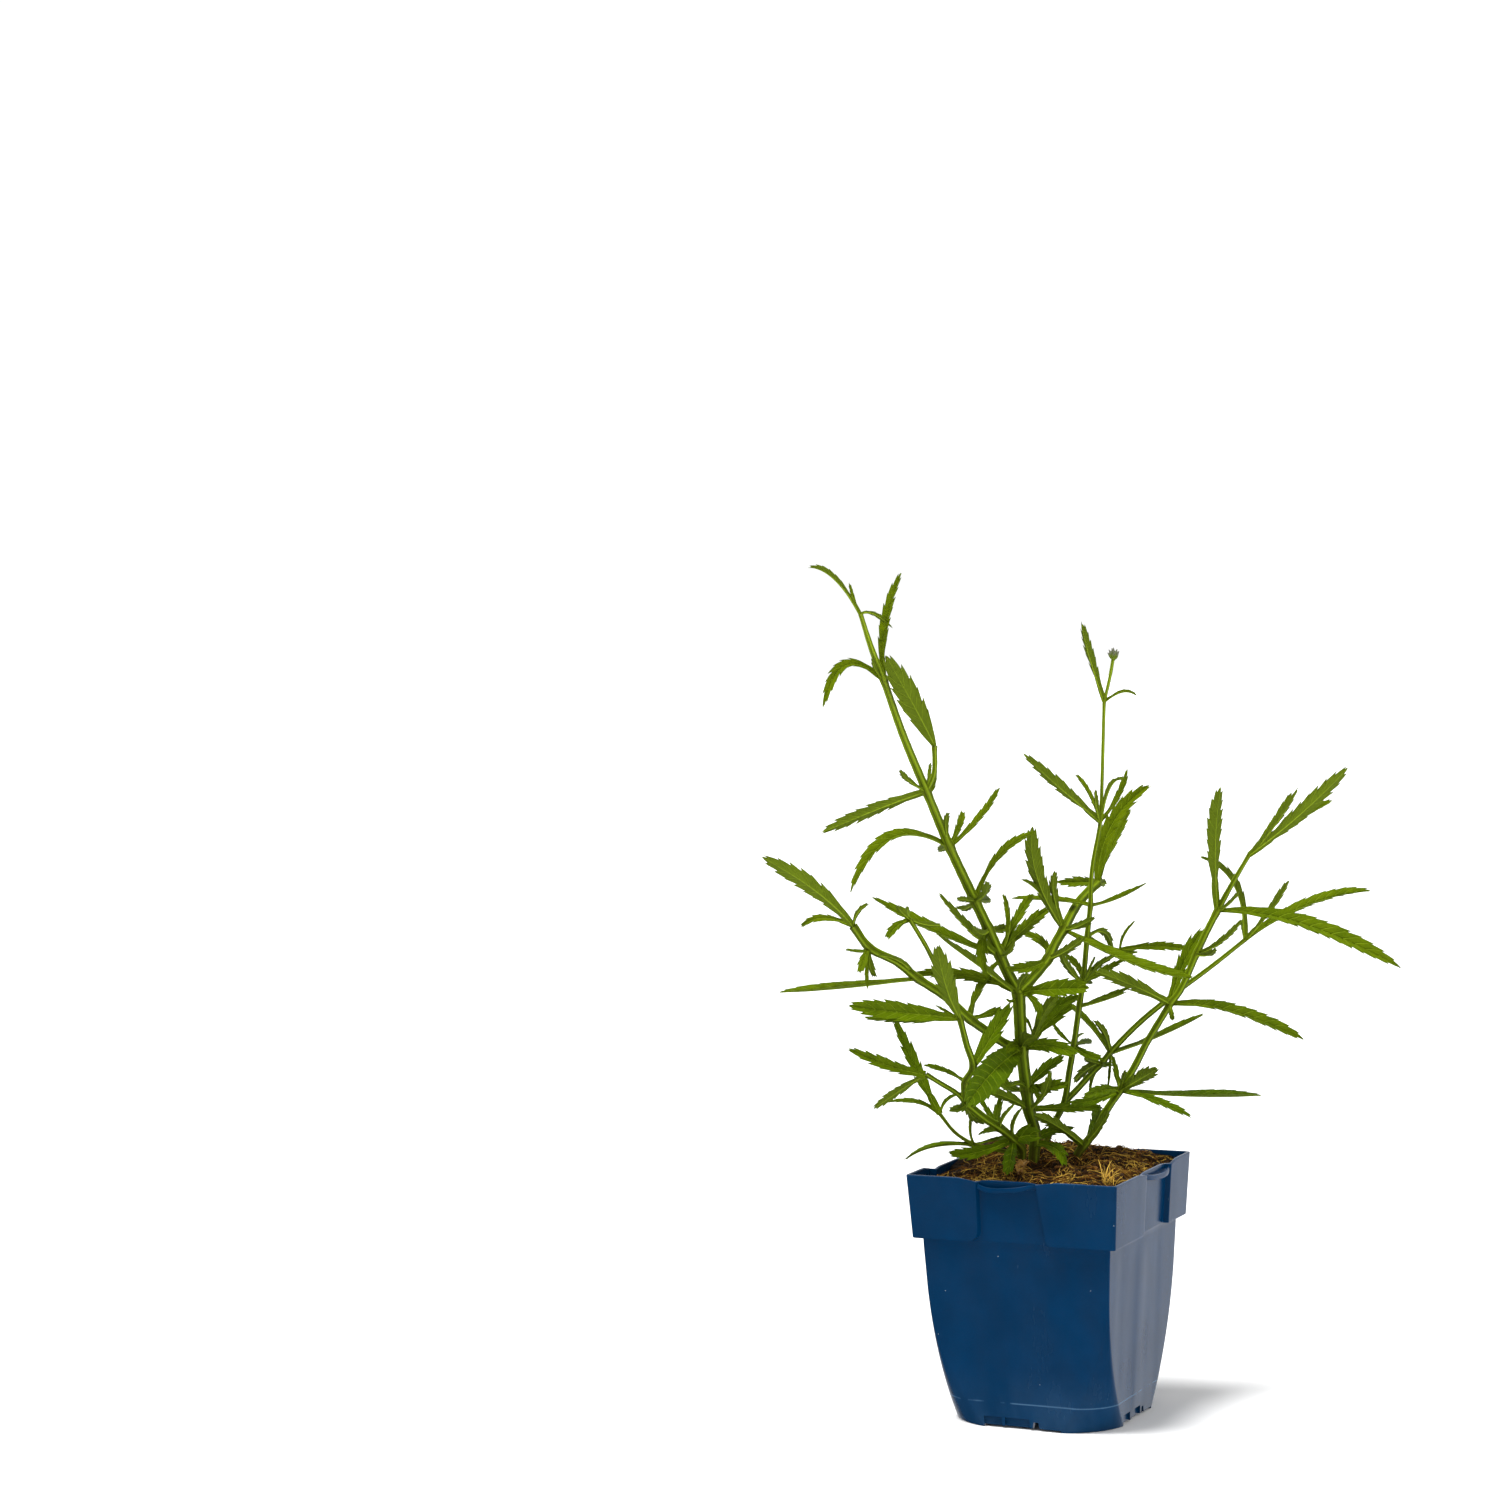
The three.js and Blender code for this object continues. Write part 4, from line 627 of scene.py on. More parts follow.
def pot_material(pot):
    """Navy moulded plastic: glossy, faintly ribbed along its height, with scuffs, a little dusty, and paler
    near the foot with a painted reflection of the floor.
    """
    finish = Finish("Navy plastic", 0.25, 45.0, 1500.0, 0.6)
    height = finish.parts(finish.place)["Z"]
    ribs = finish.grain(finish.stretched(finish.place, (1, 1, 0.12)), 70.0, 0.5, 0.5)
    smears = finish.grain(finish.stretched(finish.place, (1, 1, 0.35)), 55.0, 4.0, 0.6)
    parting = finish.between(finish.apart(height, PARTING_HEIGHT), 0.0005, 0.0002)
    parting = finish.times(parting, finish.between(smears, 0.4, 0.5))
    rim = finish.between(height, pot.height - 0.0009, pot.height - 0.0001)
    # Wear along the rim's top edge
    paled = finish.times(rim, finish.between(finish.mottle, 0.3, 0.9, 0.05, 0.5))
    paled = finish.larger(paled, finish.times(parting, 0.9))
    # Paler towards the foot, patchy over the smears: a painted reflection of the pale floor
    foot = finish.times(finish.between(height, 0.034, 0.002), finish.between(smears, 0.3, 0.7, 0.04, 0.2))
    paled = finish.larger(paled, foot)
    colour = finish.mix(finish.mottled(), shade(pot.navy, 0.8), pot.navy)
    colour = finish.mix(paled, colour, pot.scuff_and_floor_reflection)
    dust = finish.effect("Specks", Place=finish.place, Spacing=210.0, Share=0.18, Size=0.036)["Mask"]
    colour = finish.mix(finish.times(dust, 0.85), colour, DUST)
    relief = finish.plus(ribs, finish.times(finish.height, 0.04))
    return finish.done(colour, finish.between(smears, 0.3, 0.75, 0.16, 0.30), relief, 0.0006, 0.5)


def soil_material(soil):
    """Moist peat with fine light grains, and dark patches of painted shade in place of hollows."""
    finish = Finish("Peat and coir", 0.1, 130.0, 1400.0, 0.9)
    fluff = finish.grain(finish.stretched(finish.place, (1, 0.35, 1)), 700.0, 4.0, 0.7)
    # Dark patches at random: painted shade in place of hollows
    colour = finish.mix(finish.between(finish.mottle, 0.2, 0.8), shade(soil.peat, 0.3), soil.peat)
    colour = finish.mix(finish.between(fluff, 0.55, 0.75, 0, 0.4), colour, shade(soil.coir, 0.22))
    return finish.done(colour, finish.mottled(0.95, 0.7), finish.plus(fluff, finish.height), 0.0012)


def fibre_material(soil):
    """Coir fibres and crumbs, from dark brown to straw, each with its own tone."""
    finish = Finish("Coir fibre", 0.1, 400.0, 3000.0, 0.7)
    tone = finish.mark("growth")[0]
    dark = shade(soil.peat, 1.3)
    colour = finish.mix(finish.between(tone, 0, 0.5), dark, COIR_BROWN)
    colour = finish.mix(finish.between(tone, 0.45, 1), colour, soil.coir)
    colour = finish.mix(finish.times(finish.mottled(), 0.55), colour, dark)
    return finish.done(colour, finish.mottled(0.6, 0.9), finish.height, 0.0002, 0.7)


def leaf_material(foliage):
    """A living leaf: pale sunken midrib and veins that run to the teeth, paler and duller beneath, darker low
    down partly with painted shade, and darkest with painted shade where it is broad and low.
    """
    finish = Finish("Green leaf", 0.05, 140.0, 1900.0, 0.8)
    across, tooth, upper = finish.mark("place")
    tone, share, along = finish.mark("growth")
    rib_width = finish.between(along, 0, 1, 0.5, 0.12)
    off_rib = finish.math("DIVIDE", finish.math("ABSOLUTE", across), rib_width)
    rib = finish.minus(1, finish.between(off_rib, 0.35, 1))
    vein = finish.effect("Veins", Tooth=tooth, Share=share, Edge=0.36)["Mask"]
    vein = finish.times(vein, finish.between(share, 1, 0.8))
    # Low leaves darker, partly by age and partly as painted shade; a tone below zero adds more painted shade
    colour = finish.mix(tone, foliage.deep_green, foliage.young_green)
    colour = finish.mix(finish.between(tone, 0, DEEPEST_SHADE_TONE, 0, 0.65), colour, SHADED_GREEN)
    darker = finish.mix(0.5, colour, MOTTLE_GREEN)
    colour = finish.mix(finish.between(finish.mottle, 0.05, 0.95, 0, 0.7), colour, darker)
    colour = finish.mix(upper, finish.mix(0.35, foliage.under_green, colour), colour)
    colour = finish.mix(finish.times(vein, 0.27), colour, foliage.rib_green)
    colour = finish.mix(finish.times(rib, 0.6), colour, foliage.rib_green)
    colour = finish.mix(finish.times(finish.between(along, 0.2, 0.0), 0.5), colour, foliage.stem_green)
    rough = finish.plus(finish.mottled(0.42, 0.56), finish.times(finish.minus(1, upper), 0.15))
    sunk = finish.plus(finish.times(vein, -0.7), finish.times(rib, -0.6))
    return finish.done(colour, rough, finish.plus(sunk, finish.times(finish.height, 0.8)), 0.00055)


def stem_material(foliage):
    """A square stem: streaked, browner at its nodes and foot, darker low down partly with painted shade near
    the soil, with painted shade in its grooves and a painted highlight along its edges.
    """
    finish = Finish("Green stem", 0.06, 160.0, 2200.0, 0.7)
    edge, along, node = finish.mark("place")
    tone, brown, fresh = finish.mark("growth")
    lines = {0: finish.times(edge, 9), 1: brown, 2: finish.times(along, 0.03)}
    streak = finish.grain(finish.add("ShaderNodeCombineXYZ", lines).outputs[0], 3.0, 2.0)
    # Darker low down, partly as older stem and partly as painted shade
    dark = finish.mix(0.8, foliage.stem_green, foliage.deep_green)
    colour = finish.mix(tone, dark, foliage.stem_green)
    colour = finish.mix(finish.times(fresh, 0.6), colour, foliage.rib_green)
    colour = finish.mix(finish.between(streak, 0.35, 0.7, 0, 0.5), colour, STREAK_GREEN)
    # Painted shade in the grooves and a painted highlight along the edges
    colour = finish.mix(finish.between(edge, 0.4, 0, 0, 0.75), colour, GROOVE_SHADE_GREEN)
    colour = finish.mix(finish.between(edge, 0.72, 1, 0, 0.6), colour, foliage.rib_green)
    # Browner at the nodes, and at the foot, where it is partly painted shade near the soil
    blush_and_shade = finish.times(finish.larger(finish.times(node, 0.3), brown), finish.mottled(0.35, 1))
    colour = finish.mix(blush_and_shade, colour, foliage.stem_blush_and_shade)
    return finish.done(colour, finish.mottled(0.42, 0.6), finish.plus(streak, finish.height), 0.0003, 0.7)


def bud_material(foliage):
    """Downy green calyces with greyish violet tips."""
    finish = Finish("Young bud", 0.3, 600.0, 4000.0, 0.7)
    along = finish.mark("growth")[2]
    colour = finish.mix(finish.between(along, 0.5, 0.95), foliage.stem_green, BUD_TIP)
    colour = finish.mix(finish.times(finish.mottle, 0.4), colour, foliage.deep_green)
    return finish.done(colour, finish.mottled(0.6, 0.85), finish.height, 0.0003)


def withered_material(foliage):
    """A dry leaf: papery, wrinkled, darker between its veins."""
    finish = Finish("Dry leaf", 0.1, 260.0, 1800.0, 0.9)
    across, tooth, _ = finish.mark("place")
    _, share, along = finish.mark("growth")
    rib = finish.between(finish.math("ABSOLUTE", across), 0.4, 0.12)
    vein = finish.effect("Veins", Tooth=tooth, Share=share, Edge=0.34)["Mask"]
    brown = shade(foliage.withered, 0.45)
    colour = finish.mix(finish.between(finish.mottle, 0.1, 0.9), foliage.withered, brown)
    colour = finish.mix(finish.between(along, 0.75, 1, 0, 0.6), colour, brown)
    pale = finish.larger(finish.times(vein, 0.35), finish.times(rib, 0.6))
    colour = finish.mix(pale, colour, DRY_VEIN)
    relief = finish.plus(finish.height, finish.times(finish.larger(vein, rib), 0.8))
    return finish.done(colour, finish.mottled(0.75, 0.95), relief, 0.0004)


def floor_material(stage):
    """Pale matt paper."""
    finish = Finish("Pale floor", 0.1, 2.0, 300.0, 0.3)
    colour = finish.mix(finish.mottle, shade(stage.floor_colour, 0.98), stage.floor_colour)
    return finish.done(colour, finish.mottled(0.85, 0.95))


# Numbers and meshes

def lerp(low, high, share):
    return low + (high - low) * share


def clamp(value, low=0.0, high=1.0):
    return min(max(value, low), high)


def smoothstep(value, low, high):
    """Rises smoothly from 0 to 1 as the value goes from low to high."""
    share = clamp((value - low) / (high - low))
    return share * share * (3 - 2 * share)


def unit(vectors):
    vectors = np.asarray(vectors, float)
    return vectors / np.linalg.norm(vectors, axis=-1, keepdims=True)


def around(count):
    """Angles evenly spaced round a circle."""
    return np.linspace(0, 2 * math.pi, count, endpoint=False)


def turned(points, angle):
    """Points turned about the pot's axis."""
    points = np.array(points, float).reshape(-1, 3)
    cos, sin = math.cos(angle), math.sin(angle)
    x, y = points[:, 0].copy(), points[:, 1].copy()
    points[:, 0], points[:, 1] = cos * x - sin * y, sin * x + cos * y
    return points


def on_four_sides(parts):
    """Each part, repeated by quarter turns of the pot."""
    turns = [quarter * QUARTER_TURN for quarter in range(4)]
    return [(turned(points, turn), faces) for points, faces in parts for turn in turns]


def tube_faces(rings, sides):
    """Faces between closed rings of points that follow each other, and a cap at both ends."""
    faces = []
    for ring in range(rings - 1):
        for i in range(sides):
            a = ring * sides + i
            b = ring * sides + (i + 1) % sides
            faces.append((a, b, b + sides, a + sides))
    faces.append(tuple(reversed(range(sides))))
    faces.append(tuple(range((rings - 1) * sides, rings * sides)))
    return faces


def prism(outline, low, high, axis=2):
    """A straight solid over an outline, along z, or along y where axis is 1."""
    ends = [(a, b, z) if axis == 2 else (a, z, b) for z in (low, high) for a, b in outline]
    return ends, tube_faces(2, len(outline))


def cylinder(radius, sides, low, high, middle=0.0):
    """An upright cylinder. The middle is both the x and the y of its axis."""
    outline = [(middle + radius * math.cos(a), middle + radius * math.sin(a)) for a in around(sides)]
    return prism(outline, low, high)


def place_object(name, data):
    placed = bpy.data.objects.new(name, data)
    bpy.context.scene.collection.objects.link(placed)
    return placed


def smooth(mesh, sharp):
    """Shades a mesh smooth, but for the edges that are sharper than the angle."""
    mesh.update()
    mesh.shade_smooth()
    mesh.set_sharp_from_angle(angle=math.radians(sharp))


class Shells:
    """Gathers closed shells in one mesh. Each point carries two marks of three numbers for the materials."""

    def __init__(self):
        self.points, self.faces, self.slots = [], [], []
        self.marks = {"place": [], "growth": []}
        self.count = 0

    def add(self, points, faces, place=(0, 0, 1), growth=(0, 0, 0), slot=0):
        points = np.asarray(points, float).reshape(-1, 3)
        self.points.append(points)
        self.faces.extend(tuple(i + self.count for i in face) for face in faces)
        self.slots.extend([slot] * len(faces))
        for title, mark in (("place", place), ("growth", growth)):
            self.marks[title].append(np.broadcast_to(np.asarray(mark, float), points.shape))
        self.count += len(points)

    def piece(self, name, materials, sharp=50):
        """The gathered shells as one object, in metres."""
        mesh = bpy.data.meshes.new(name)
        mesh.from_pydata((np.concatenate(self.points) * MM).tolist(), [], self.faces)
        for title, rows in self.marks.items():
            mark = mesh.attributes.new(title, "FLOAT_VECTOR", "POINT")
            mark.data.foreach_set("vector", np.concatenate(rows).astype(np.float32).ravel())
        for material in materials:
            mesh.materials.append(material)
        mesh.polygons.foreach_set("material_index", np.array(self.slots, np.int32))
        smooth(mesh, sharp)
        return place_object(name, mesh)


def solid(name, parts):
    """An object of closed shells whose faces all point outwards."""
    shells = Shells()
    for points, faces in parts:
        shells.add(points, faces)
    made = shells.piece(name, [])
    mesh = bmesh.new()
    mesh.from_mesh(made.data)
    bmesh.ops.recalc_face_normals(mesh, faces=mesh.faces)
    mesh.to_mesh(made.data)
    mesh.free()
    return made


def combine(target, other, operation):
    """Joins the other solid to the target or cuts it away, and removes the other."""
    modifier = target.modifiers.new(operation, "BOOLEAN")
    modifier.operation, modifier.object, modifier.solver = operation, other, "EXACT"
    graph = bpy.context.evaluated_depsgraph_get()
    mesh = bpy.data.meshes.new_from_object(target.evaluated_get(graph))
    target.modifiers.clear()
    target.data = mesh
    bpy.data.objects.remove(other)


# The pot

class PotShape:
    """Outlines of the pot at a height, all with the same number of points."""

    def __init__(self, pot):
        self.height = pot.height / MM
        self.rim_half = pot.rim_width / MM / 2
        self.wall = pot.wall / MM
        self.body_height = self.height - COLLAR_HEIGHT

    def four_sides(self, sides, z):
        """The points of one side or two, repeated round the four sides of the pot from the right one on."""
        flat = [np.array([(x, y, z) for x, y in side], float) for side in sides]
        return np.concatenate([turned(flat[i % len(flat)], i * QUARTER_TURN) for i in range(4)])

    def body(self, z, inset=0.0):
        """A square whose corners are cut by an arc that shrinks to nothing towards the collar."""
        rise = clamp(z / self.body_height)
        half = lerp(BODY_BASE_HALF, BODY_TOP_HALF, rise) - inset
        wanted = lerp(CORNER_BASE_REACH, CORNER_TOP_REACH, 1 - (1 - rise) ** CORNER_CURVE)
        reach = min(wanted, half - CORNER_LEAST)
        chamfered = (half + reach) / math.sqrt(2)
        extent = lerp(chamfered, reach * math.sqrt(2) + half - reach, CORNER_ROUNDNESS)
        centre = (half**2 + reach**2 - extent**2) / (2 * (half + reach - math.sqrt(2) * extent))
        radius = extent - centre * math.sqrt(2)
        start = math.acos((half - centre) / radius)
        near = min(CREASE / (radius * (QUARTER_TURN - 2 * start)), 0.1)
        shares = [0, near, *np.linspace(0, 1, ARC_STEPS - 1)[1:-1], 1 - near, 1]
        angles = [lerp(start, QUARTER_TURN - start, share) - QUARTER_TURN for share in shares]
        side = [(centre + radius * math.cos(a), radius * math.sin(a) - centre) for a in angles]
        flat = 2 * (FACE_STEPS + 7) + BAY_STEPS - 2
        runs = [CREASE - reach, *np.linspace(-reach, reach, flat + 2)[1:-1], reach - CREASE]
        fade = 0
        if inset == 0:
            fade = clamp((self.body_height - z) / FLUTE_FADE) * min(z / FLUTE_FADE, 1)
        return self.four_sides([side + [(half - fade * self.flute(y, reach), y) for y in runs]], z)

    def flute(self, y, reach):
        """How far a side's broad, shallow flutes draw it in at a point."""
        depth = sum(change * smoothstep(y, start, end) for start, end, change in FLUTES)
        return depth * clamp((reach - abs(y)) / FLUTE_END)

    def collar(self, z, inset=0.0):
        """A square with a recessed bay in each side."""
        above = z - self.body_height
        rise = above / COLLAR_HEIGHT
        half = self.rim_half - COLLAR_DRAFT * (1 - rise) - inset
        deep = half - BAY_INSET
        middle = half - COLLAR_CORNER
        steps = np.linspace(0, QUARTER_TURN, ARC_STEPS + 1)
        corner = [
            (middle + COLLAR_CORNER * math.sin(a), -middle - COLLAR_CORNER * math.cos(a)) for a in steps
        ]
        sides, dips = [], []
        for start, end, roundings, _ in BAYS:
            rounded = [r - math.sqrt(max(r**2 - max(r - above, 0) ** 2, 0)) for r in roundings]
            first = lerp(*start, rise) - inset - rounded[0]
            last = lerp(*end, rise) + inset + rounded[1]
            bay = np.linspace(first + BAY_SLOPE + 1.1, last - BAY_SLOPE - 1.1, BAY_STEPS)
            near, far = (self.bay_wall(half, deep, -middle, edge) for edge in (first, -last))
            side = corner + near + [(deep, y) for y in bay] + [(x, -y) for x, y in reversed(far)]
            sides.append(side)
            dips += [self.dip(y, start[1], end[1]) for _, y in side]
        points = self.four_sides(sides, z)
        points[:, 2] -= clamp(1 - (self.height - z) / DIP_HEIGHT) * np.tile(dips, 2)
        return points

    def dip(self, y, start, end):
        """How far the rim dips at a place along its side: over the bay, and most beside its ends."""
        over = 1 / (1 + math.exp(start - DIP_SPREAD - y)) / (1 + math.exp(y - end - DIP_SPREAD))
        beside = sum(math.exp(-((off / DIP_REACH) ** 2)) for off in (y - start + 1, y - end - 1))
        return over + DIP_BESIDE * beside

    def bay_wall(self, half, deep, corner, edge):
        """The points from a corner of the collar along its face, and down the slope into a bay."""
        foot = edge + BAY_SLOPE
        face = [corner + CREASE, *np.linspace(corner, edge - 1, FACE_STEPS + 1)[1:], edge - 0.35]
        return [(half, y) for y in face] + [
            (half - 0.1, edge - 0.04), (half - 0.45, edge + 0.12), (deep + 0.5, foot - 0.14),
            (deep + 0.12, foot), (deep, foot + 0.35),
        ]

    def rings(self):
        """The whole wall as one run of outlines, from under the floor round the rim to the floor inside."""
        top, step, wall = self.height, self.body_height, self.wall
        floor = FLOOR_UNDERSIDE + FLOOR_THICKNESS
        under = [(FLOOR_UNDERSIDE, FOOT_WALL), (0.3, FOOT_WALL), (0, FOOT_WALL - 0.3)]
        under += [(0, 0.5), (0.15, 0.14), (0.5, 0)]
        outside = [(z, 0) for z in np.linspace(2, step - 0.5, 34)] + [(step, -0.25)]
        rim = [(step, 0.6), (step + 0.12, 0.16)]
        rim += [(step + z, 0) for z in (0.4, 0.8, 1.3, 1.9, 2.6, 3.4, 4.2)]
        rim += [(z, 0) for z in (*np.linspace(step + 7, top - 1.2, 8), top - 0.4)]
        rim += [(top - 0.12, 0.12), (top, 0.45), (top, wall - 0.45), (top - 0.12, wall - 0.12)]
        rim += [(z, wall) for z in (top - 0.4, top - 1.2, *np.linspace(top - 4, step + wall + 0.4, 8))]
        rim += [(step + wall, wall + 0.4)]
        inside = [(step + wall, wall - 0.2)]
        inside += [(z, wall) for z in np.linspace(step, floor + 1.2, 14)] + [(floor, wall + 1.2)]
        rings = [self.body(z, inset) for z, inset in under + outside]
        rings += [self.collar(z, inset) for z, inset in rim]
        return rings + [self.body(z, inset) for z, inset in inside]


def lip_parts(shape):
    """A crescent lip at the top of each bay: a shallow pocket behind a rounded bead."""
    back = shape.rim_half - BAY_INSET - LIP_ROOT
    level = shape.height - LIP_DROP
    parts = []
    for quarter in range(4):
        start, end, _, stands = BAYS[quarter % 2]
        rings = []
        for share in np.linspace(0, 1, LIP_STEPS + 1):
            bulge = lerp(*stands, share) + LIP_BULGE * (1 - abs(2 * share - 1) ** LIP_FULLNESS)
            full = min(bulge / 2, 1)
            out = bulge + LIP_ROOT
            y = lerp(start[1] + LIP_MARGIN, end[1] - LIP_MARGIN, share)
            top = level - shape.dip(y, start[1], end[1])
            ledge = min(level - bulge * LIP_FALL, top - 0.6)
            under = ledge - LIP_THICKNESS
            profile = [
                (0, top - 0.02), (0.25, top - 0.05), (0.2, ledge + 0.3), (out - 1.25 * full, ledge),
                (out - 1.05 * full, ledge + 0.45 * full), (out - 0.75 * full, ledge + 0.58 * full),
                (out - 0.3 * full, ledge + 0.35 * full), (out - 0.05, ledge - 0.2), (out, under + 0.45),
                (out - 0.1, under + 0.12), (out - 0.35, under), (0, under - 0.25),
            ]
            rings += [(back + reach, y, z) for reach, z in profile]
        parts.append((turned(rings, quarter * QUARTER_TURN), tube_faces(LIP_STEPS + 1, len(profile))))
    return parts


def foot_cuts():
    """What is cut from the foot of each side: a low arch, two shallow rebates and a drain notch."""

    def cut(start, end, taper, low, high, face):
        outline = [(start, low), (end, low), (end - taper, high), (start + taper, high)]
        return prism(outline, *face, axis=1)

    half, arch_high = FOOT_ARCH
    arch = cut(-half, half, 0.5, -1, arch_high, FOOT_CUT)
    shallow = (-47, -BODY_BASE_HALF + REBATE_DEPTH)
    rebates = [cut(start, end, 0.5, -2, REBATE_HEIGHT, shallow) for start, end in REBATES]
    near, far, taper, high = NOTCH
    notch = cut(near, far, taper, -1, high, FOOT_CUT)
    return [on_four_sides(parts) for parts in ([arch], rebates, [notch])]


def build_pot(pot):
    """The moulded shell with its lips, its hub and what is cut from its foot and floor."""
    shape = PotShape(pot)
    rings = shape.rings()
    shell = solid("nursery_pot", [(np.concatenate(rings), tube_faces(len(rings), len(rings[0])))])
    hub = cylinder(HUB_RADIUS, 40, 0.2, FLOOR_UNDERSIDE + FLOOR_THICKNESS / 2)
    combine(shell, solid("lips", lip_parts(shape) + [hub]), "UNION")
    arches, rebates, notches = foot_cuts()
    arches += on_four_sides([cylinder(DRAIN_RADIUS, 28, FLOOR_UNDERSIDE - 2, 9, DRAIN_CIRCLE)])
    for name, parts in (("arches", arches), ("rebates", rebates), ("notches", notches)):
        combine(shell, solid(name, parts), "DIFFERENCE")
    shell.data.materials.clear()
    shell.data.materials.append(pot_material(pot))
    smooth(shell.data, 38)
    return shell


# The soil

def soil_height(x, y, nearness):
    """Height of the mound at a point, from how near that is to the wall."""
    mound = SOIL_MOUND * (1 - nearness**2) + SOIL_HEAP * smoothstep(y - HEAP_SLANT * x, HEAP_FROM, HEAP_TO)
    for hollow_x, hollow_y, radius, depth in HOLLOWS:
        mound -= depth * math.exp(-((x - hollow_x) ** 2 + (y - hollow_y) ** 2) / radius**2)
    crumbs = math.sin(x * 0.43 + 1.1) * math.cos(y * 0.37 - 0.6) + math.sin(x * 0.19 - y * 0.23)
    rough = noise.fractal(Vector((x, y, 0)) * 0.22, 0.9, 2.1, 4)
    lumps = noise.fractal(Vector((x, y, 9)) * 0.075, 0.9, 2.1, 2)
    uneven = SOIL_CRUMB * crumbs + SOIL_ROUGH * rough + SOIL_LUMP * lumps
    return SOIL_EDGE + mound + uneven * (1 - 0.5 * nearness)


def ground(x, y):
    """Height of the soil at a point."""
    return soil_height(x, y, min(max(abs(x), abs(y)) / SOIL_HALF, 1))


def build_soil(pot, soil):
    """The mound, with a skirt that follows the wall down to the floor."""
    shape = PotShape(pot)
    inset = shape.wall + SOIL_GAP
    floor = FLOOR_UNDERSIDE + FLOOR_THICKNESS + SOIL_GAP
    shoulder = shape.body_height + shape.wall + SOIL_GAP
    rings = [shape.body(z, inset) for z in np.linspace(floor, shoulder, 8)]
    rings += [shape.collar(z, inset) for z in np.linspace(shoulder, SOIL_EDGE, 5)]
    outline = rings[-1]
    for nearness in np.linspace(1, 0.004, SOIL_RINGS):
        flat = outline[:, :2] * nearness
        rings.append(np.array([(x, y, soil_height(x, y, nearness)) for x, y in flat]))
    shells = Shells()
    shells.add(np.concatenate(rings), tube_faces(len(rings), len(outline)))
    return shells.piece("peat_mound", [soil_material(soil)], 80)


def inside_pot(x, y):
    """Whether a point is clear of the walls, also where the bays stand in."""
    edge = CLEAR_OF_WALL if min(abs(x), abs(y)) > BAY_HALF else CLEAR_OF_BAY
    return max(abs(x), abs(y)) < edge


def thread(path, radius):
    """A thin four-sided tube along a path that thins out at both ends."""
    path = np.asarray(path, float)
    ahead = unit(np.gradient(path, axis=0))
    side = unit(np.cross(ahead, (0.3, 0.2, 1.0)))
    up = np.cross(ahead, side)
    swell = radius * (0.25 + 0.75 * np.sin(math.pi * np.linspace(0, 1, len(path))) ** 0.5)
    turns = -around(4)
    ring = np.cos(turns)[None, :, None] * side[:, None] + np.sin(turns)[None, :, None] * up[:, None]
    points = path[:, None] + ring * swell[:, None, None]
    return points.reshape(-1, 3), tube_faces(len(path), 4)


def lying_fibre(rng, longest):
    """A fibre that lies and curls on the mound: its path and whether it is a pale one, or no path at all."""
    x, y = rng.uniform(-SOIL_HALF, SOIL_HALF), rng.uniform(-SOIL_HALF, SOIL_HALF)
    mat = noise.noise(Vector((x, y, 5)) * 0.055)
    if mat < rng.uniform(-0.45, 0.35):
        return None, False
    pale = rng.random() < 0.15 + 0.6 * mat
    length = rng.uniform(0.25, 1) ** 1.5 * longest
    heading = rng.uniform(0, 2 * math.pi)
    curl = rng.gauss(0, 0.09)
    lift = rng.choice((0.3, 0.6, 1.2, 2.2)) * rng.random() + 0.25
    path = []
    for step in range(FIBRE_STEPS):
        arch = lift * math.sin(math.pi * step / (FIBRE_STEPS - 1)) + rng.uniform(-0.12, 0.12)
        path.append((x, y, ground(x, y) + arch))
        heading += curl * length / FIBRE_STEPS + rng.gauss(0, 0.1)
        x += math.cos(heading) * length / (FIBRE_STEPS - 1)
        y += math.sin(heading) * length / (FIBRE_STEPS - 1)
    return (path if all(inside_pot(a, b) for a, b, _ in path) else None), pale


def build_fibres(soil):
    """Loose coir fibres that lie on the mound, and a few tufts that stand up from it."""
    rng = random.Random(11)
    shells = Shells()
    made = 0
    while made < soil.fibres:
        path, pale = lying_fibre(rng, soil.fibre_length / MM)
        if path:
            tone = rng.uniform(0.65, 1) if pale else rng.random() ** 1.3 * 0.66
            shells.add(*thread(path, rng.uniform(0.06, 0.16 if pale else 0.2)), growth=(tone, 0, 0))
            made += 1
    for x, y, count, tall in TUFTS:
        for _ in range(count):
            lean, heading = rng.uniform(0.05, 1.1), rng.uniform(0, 2 * math.pi)
            foot = np.array((x + rng.gauss(0, 1.8), y + rng.gauss(0, 1.8), 0))
            foot[2] = ground(foot[0], foot[1]) - 1
            reach = tall * rng.uniform(0.3, 1)
            away = np.array((math.cos(heading), math.sin(heading), 0)) * reach * lean
            path = [foot + away * share**2 + np.array((0, 0, reach * share * (1 - 0.4 * lean * share)))
                    for share in np.linspace(0, 1, 7)]
            shells.add(*thread(path, rng.uniform(0.15, 0.28)), growth=(rng.uniform(0.8, 1), 0, 0))
    return shells.piece("coir_fibres", [fibre_material(soil)], 80)


def crumb(rng):
    """An uneven lump about a millimetre in radius."""
    mesh = bmesh.new()
    bmesh.ops.create_icosphere(mesh, subdivisions=2, radius=1)
    shift = Vector([rng.uniform(0, 90) for _ in range(3)])
    squash = Vector((rng.uniform(0.8, 1.3), rng.uniform(0.6, 1), rng.uniform(0.5, 0.8)))
    turn = Matrix.Rotation(rng.uniform(0, 6.3), 3, "Z")
    points = []
    for vertex in mesh.verts:
        grown = vertex.co * (1 + 0.6 * noise.noise(vertex.co * 1.3 + shift))
        points.append(turn @ (grown * squash))
    faces = [tuple(v.index for v in face.verts) for face in mesh.faces]
    mesh.free()
    return np.array(points), faces


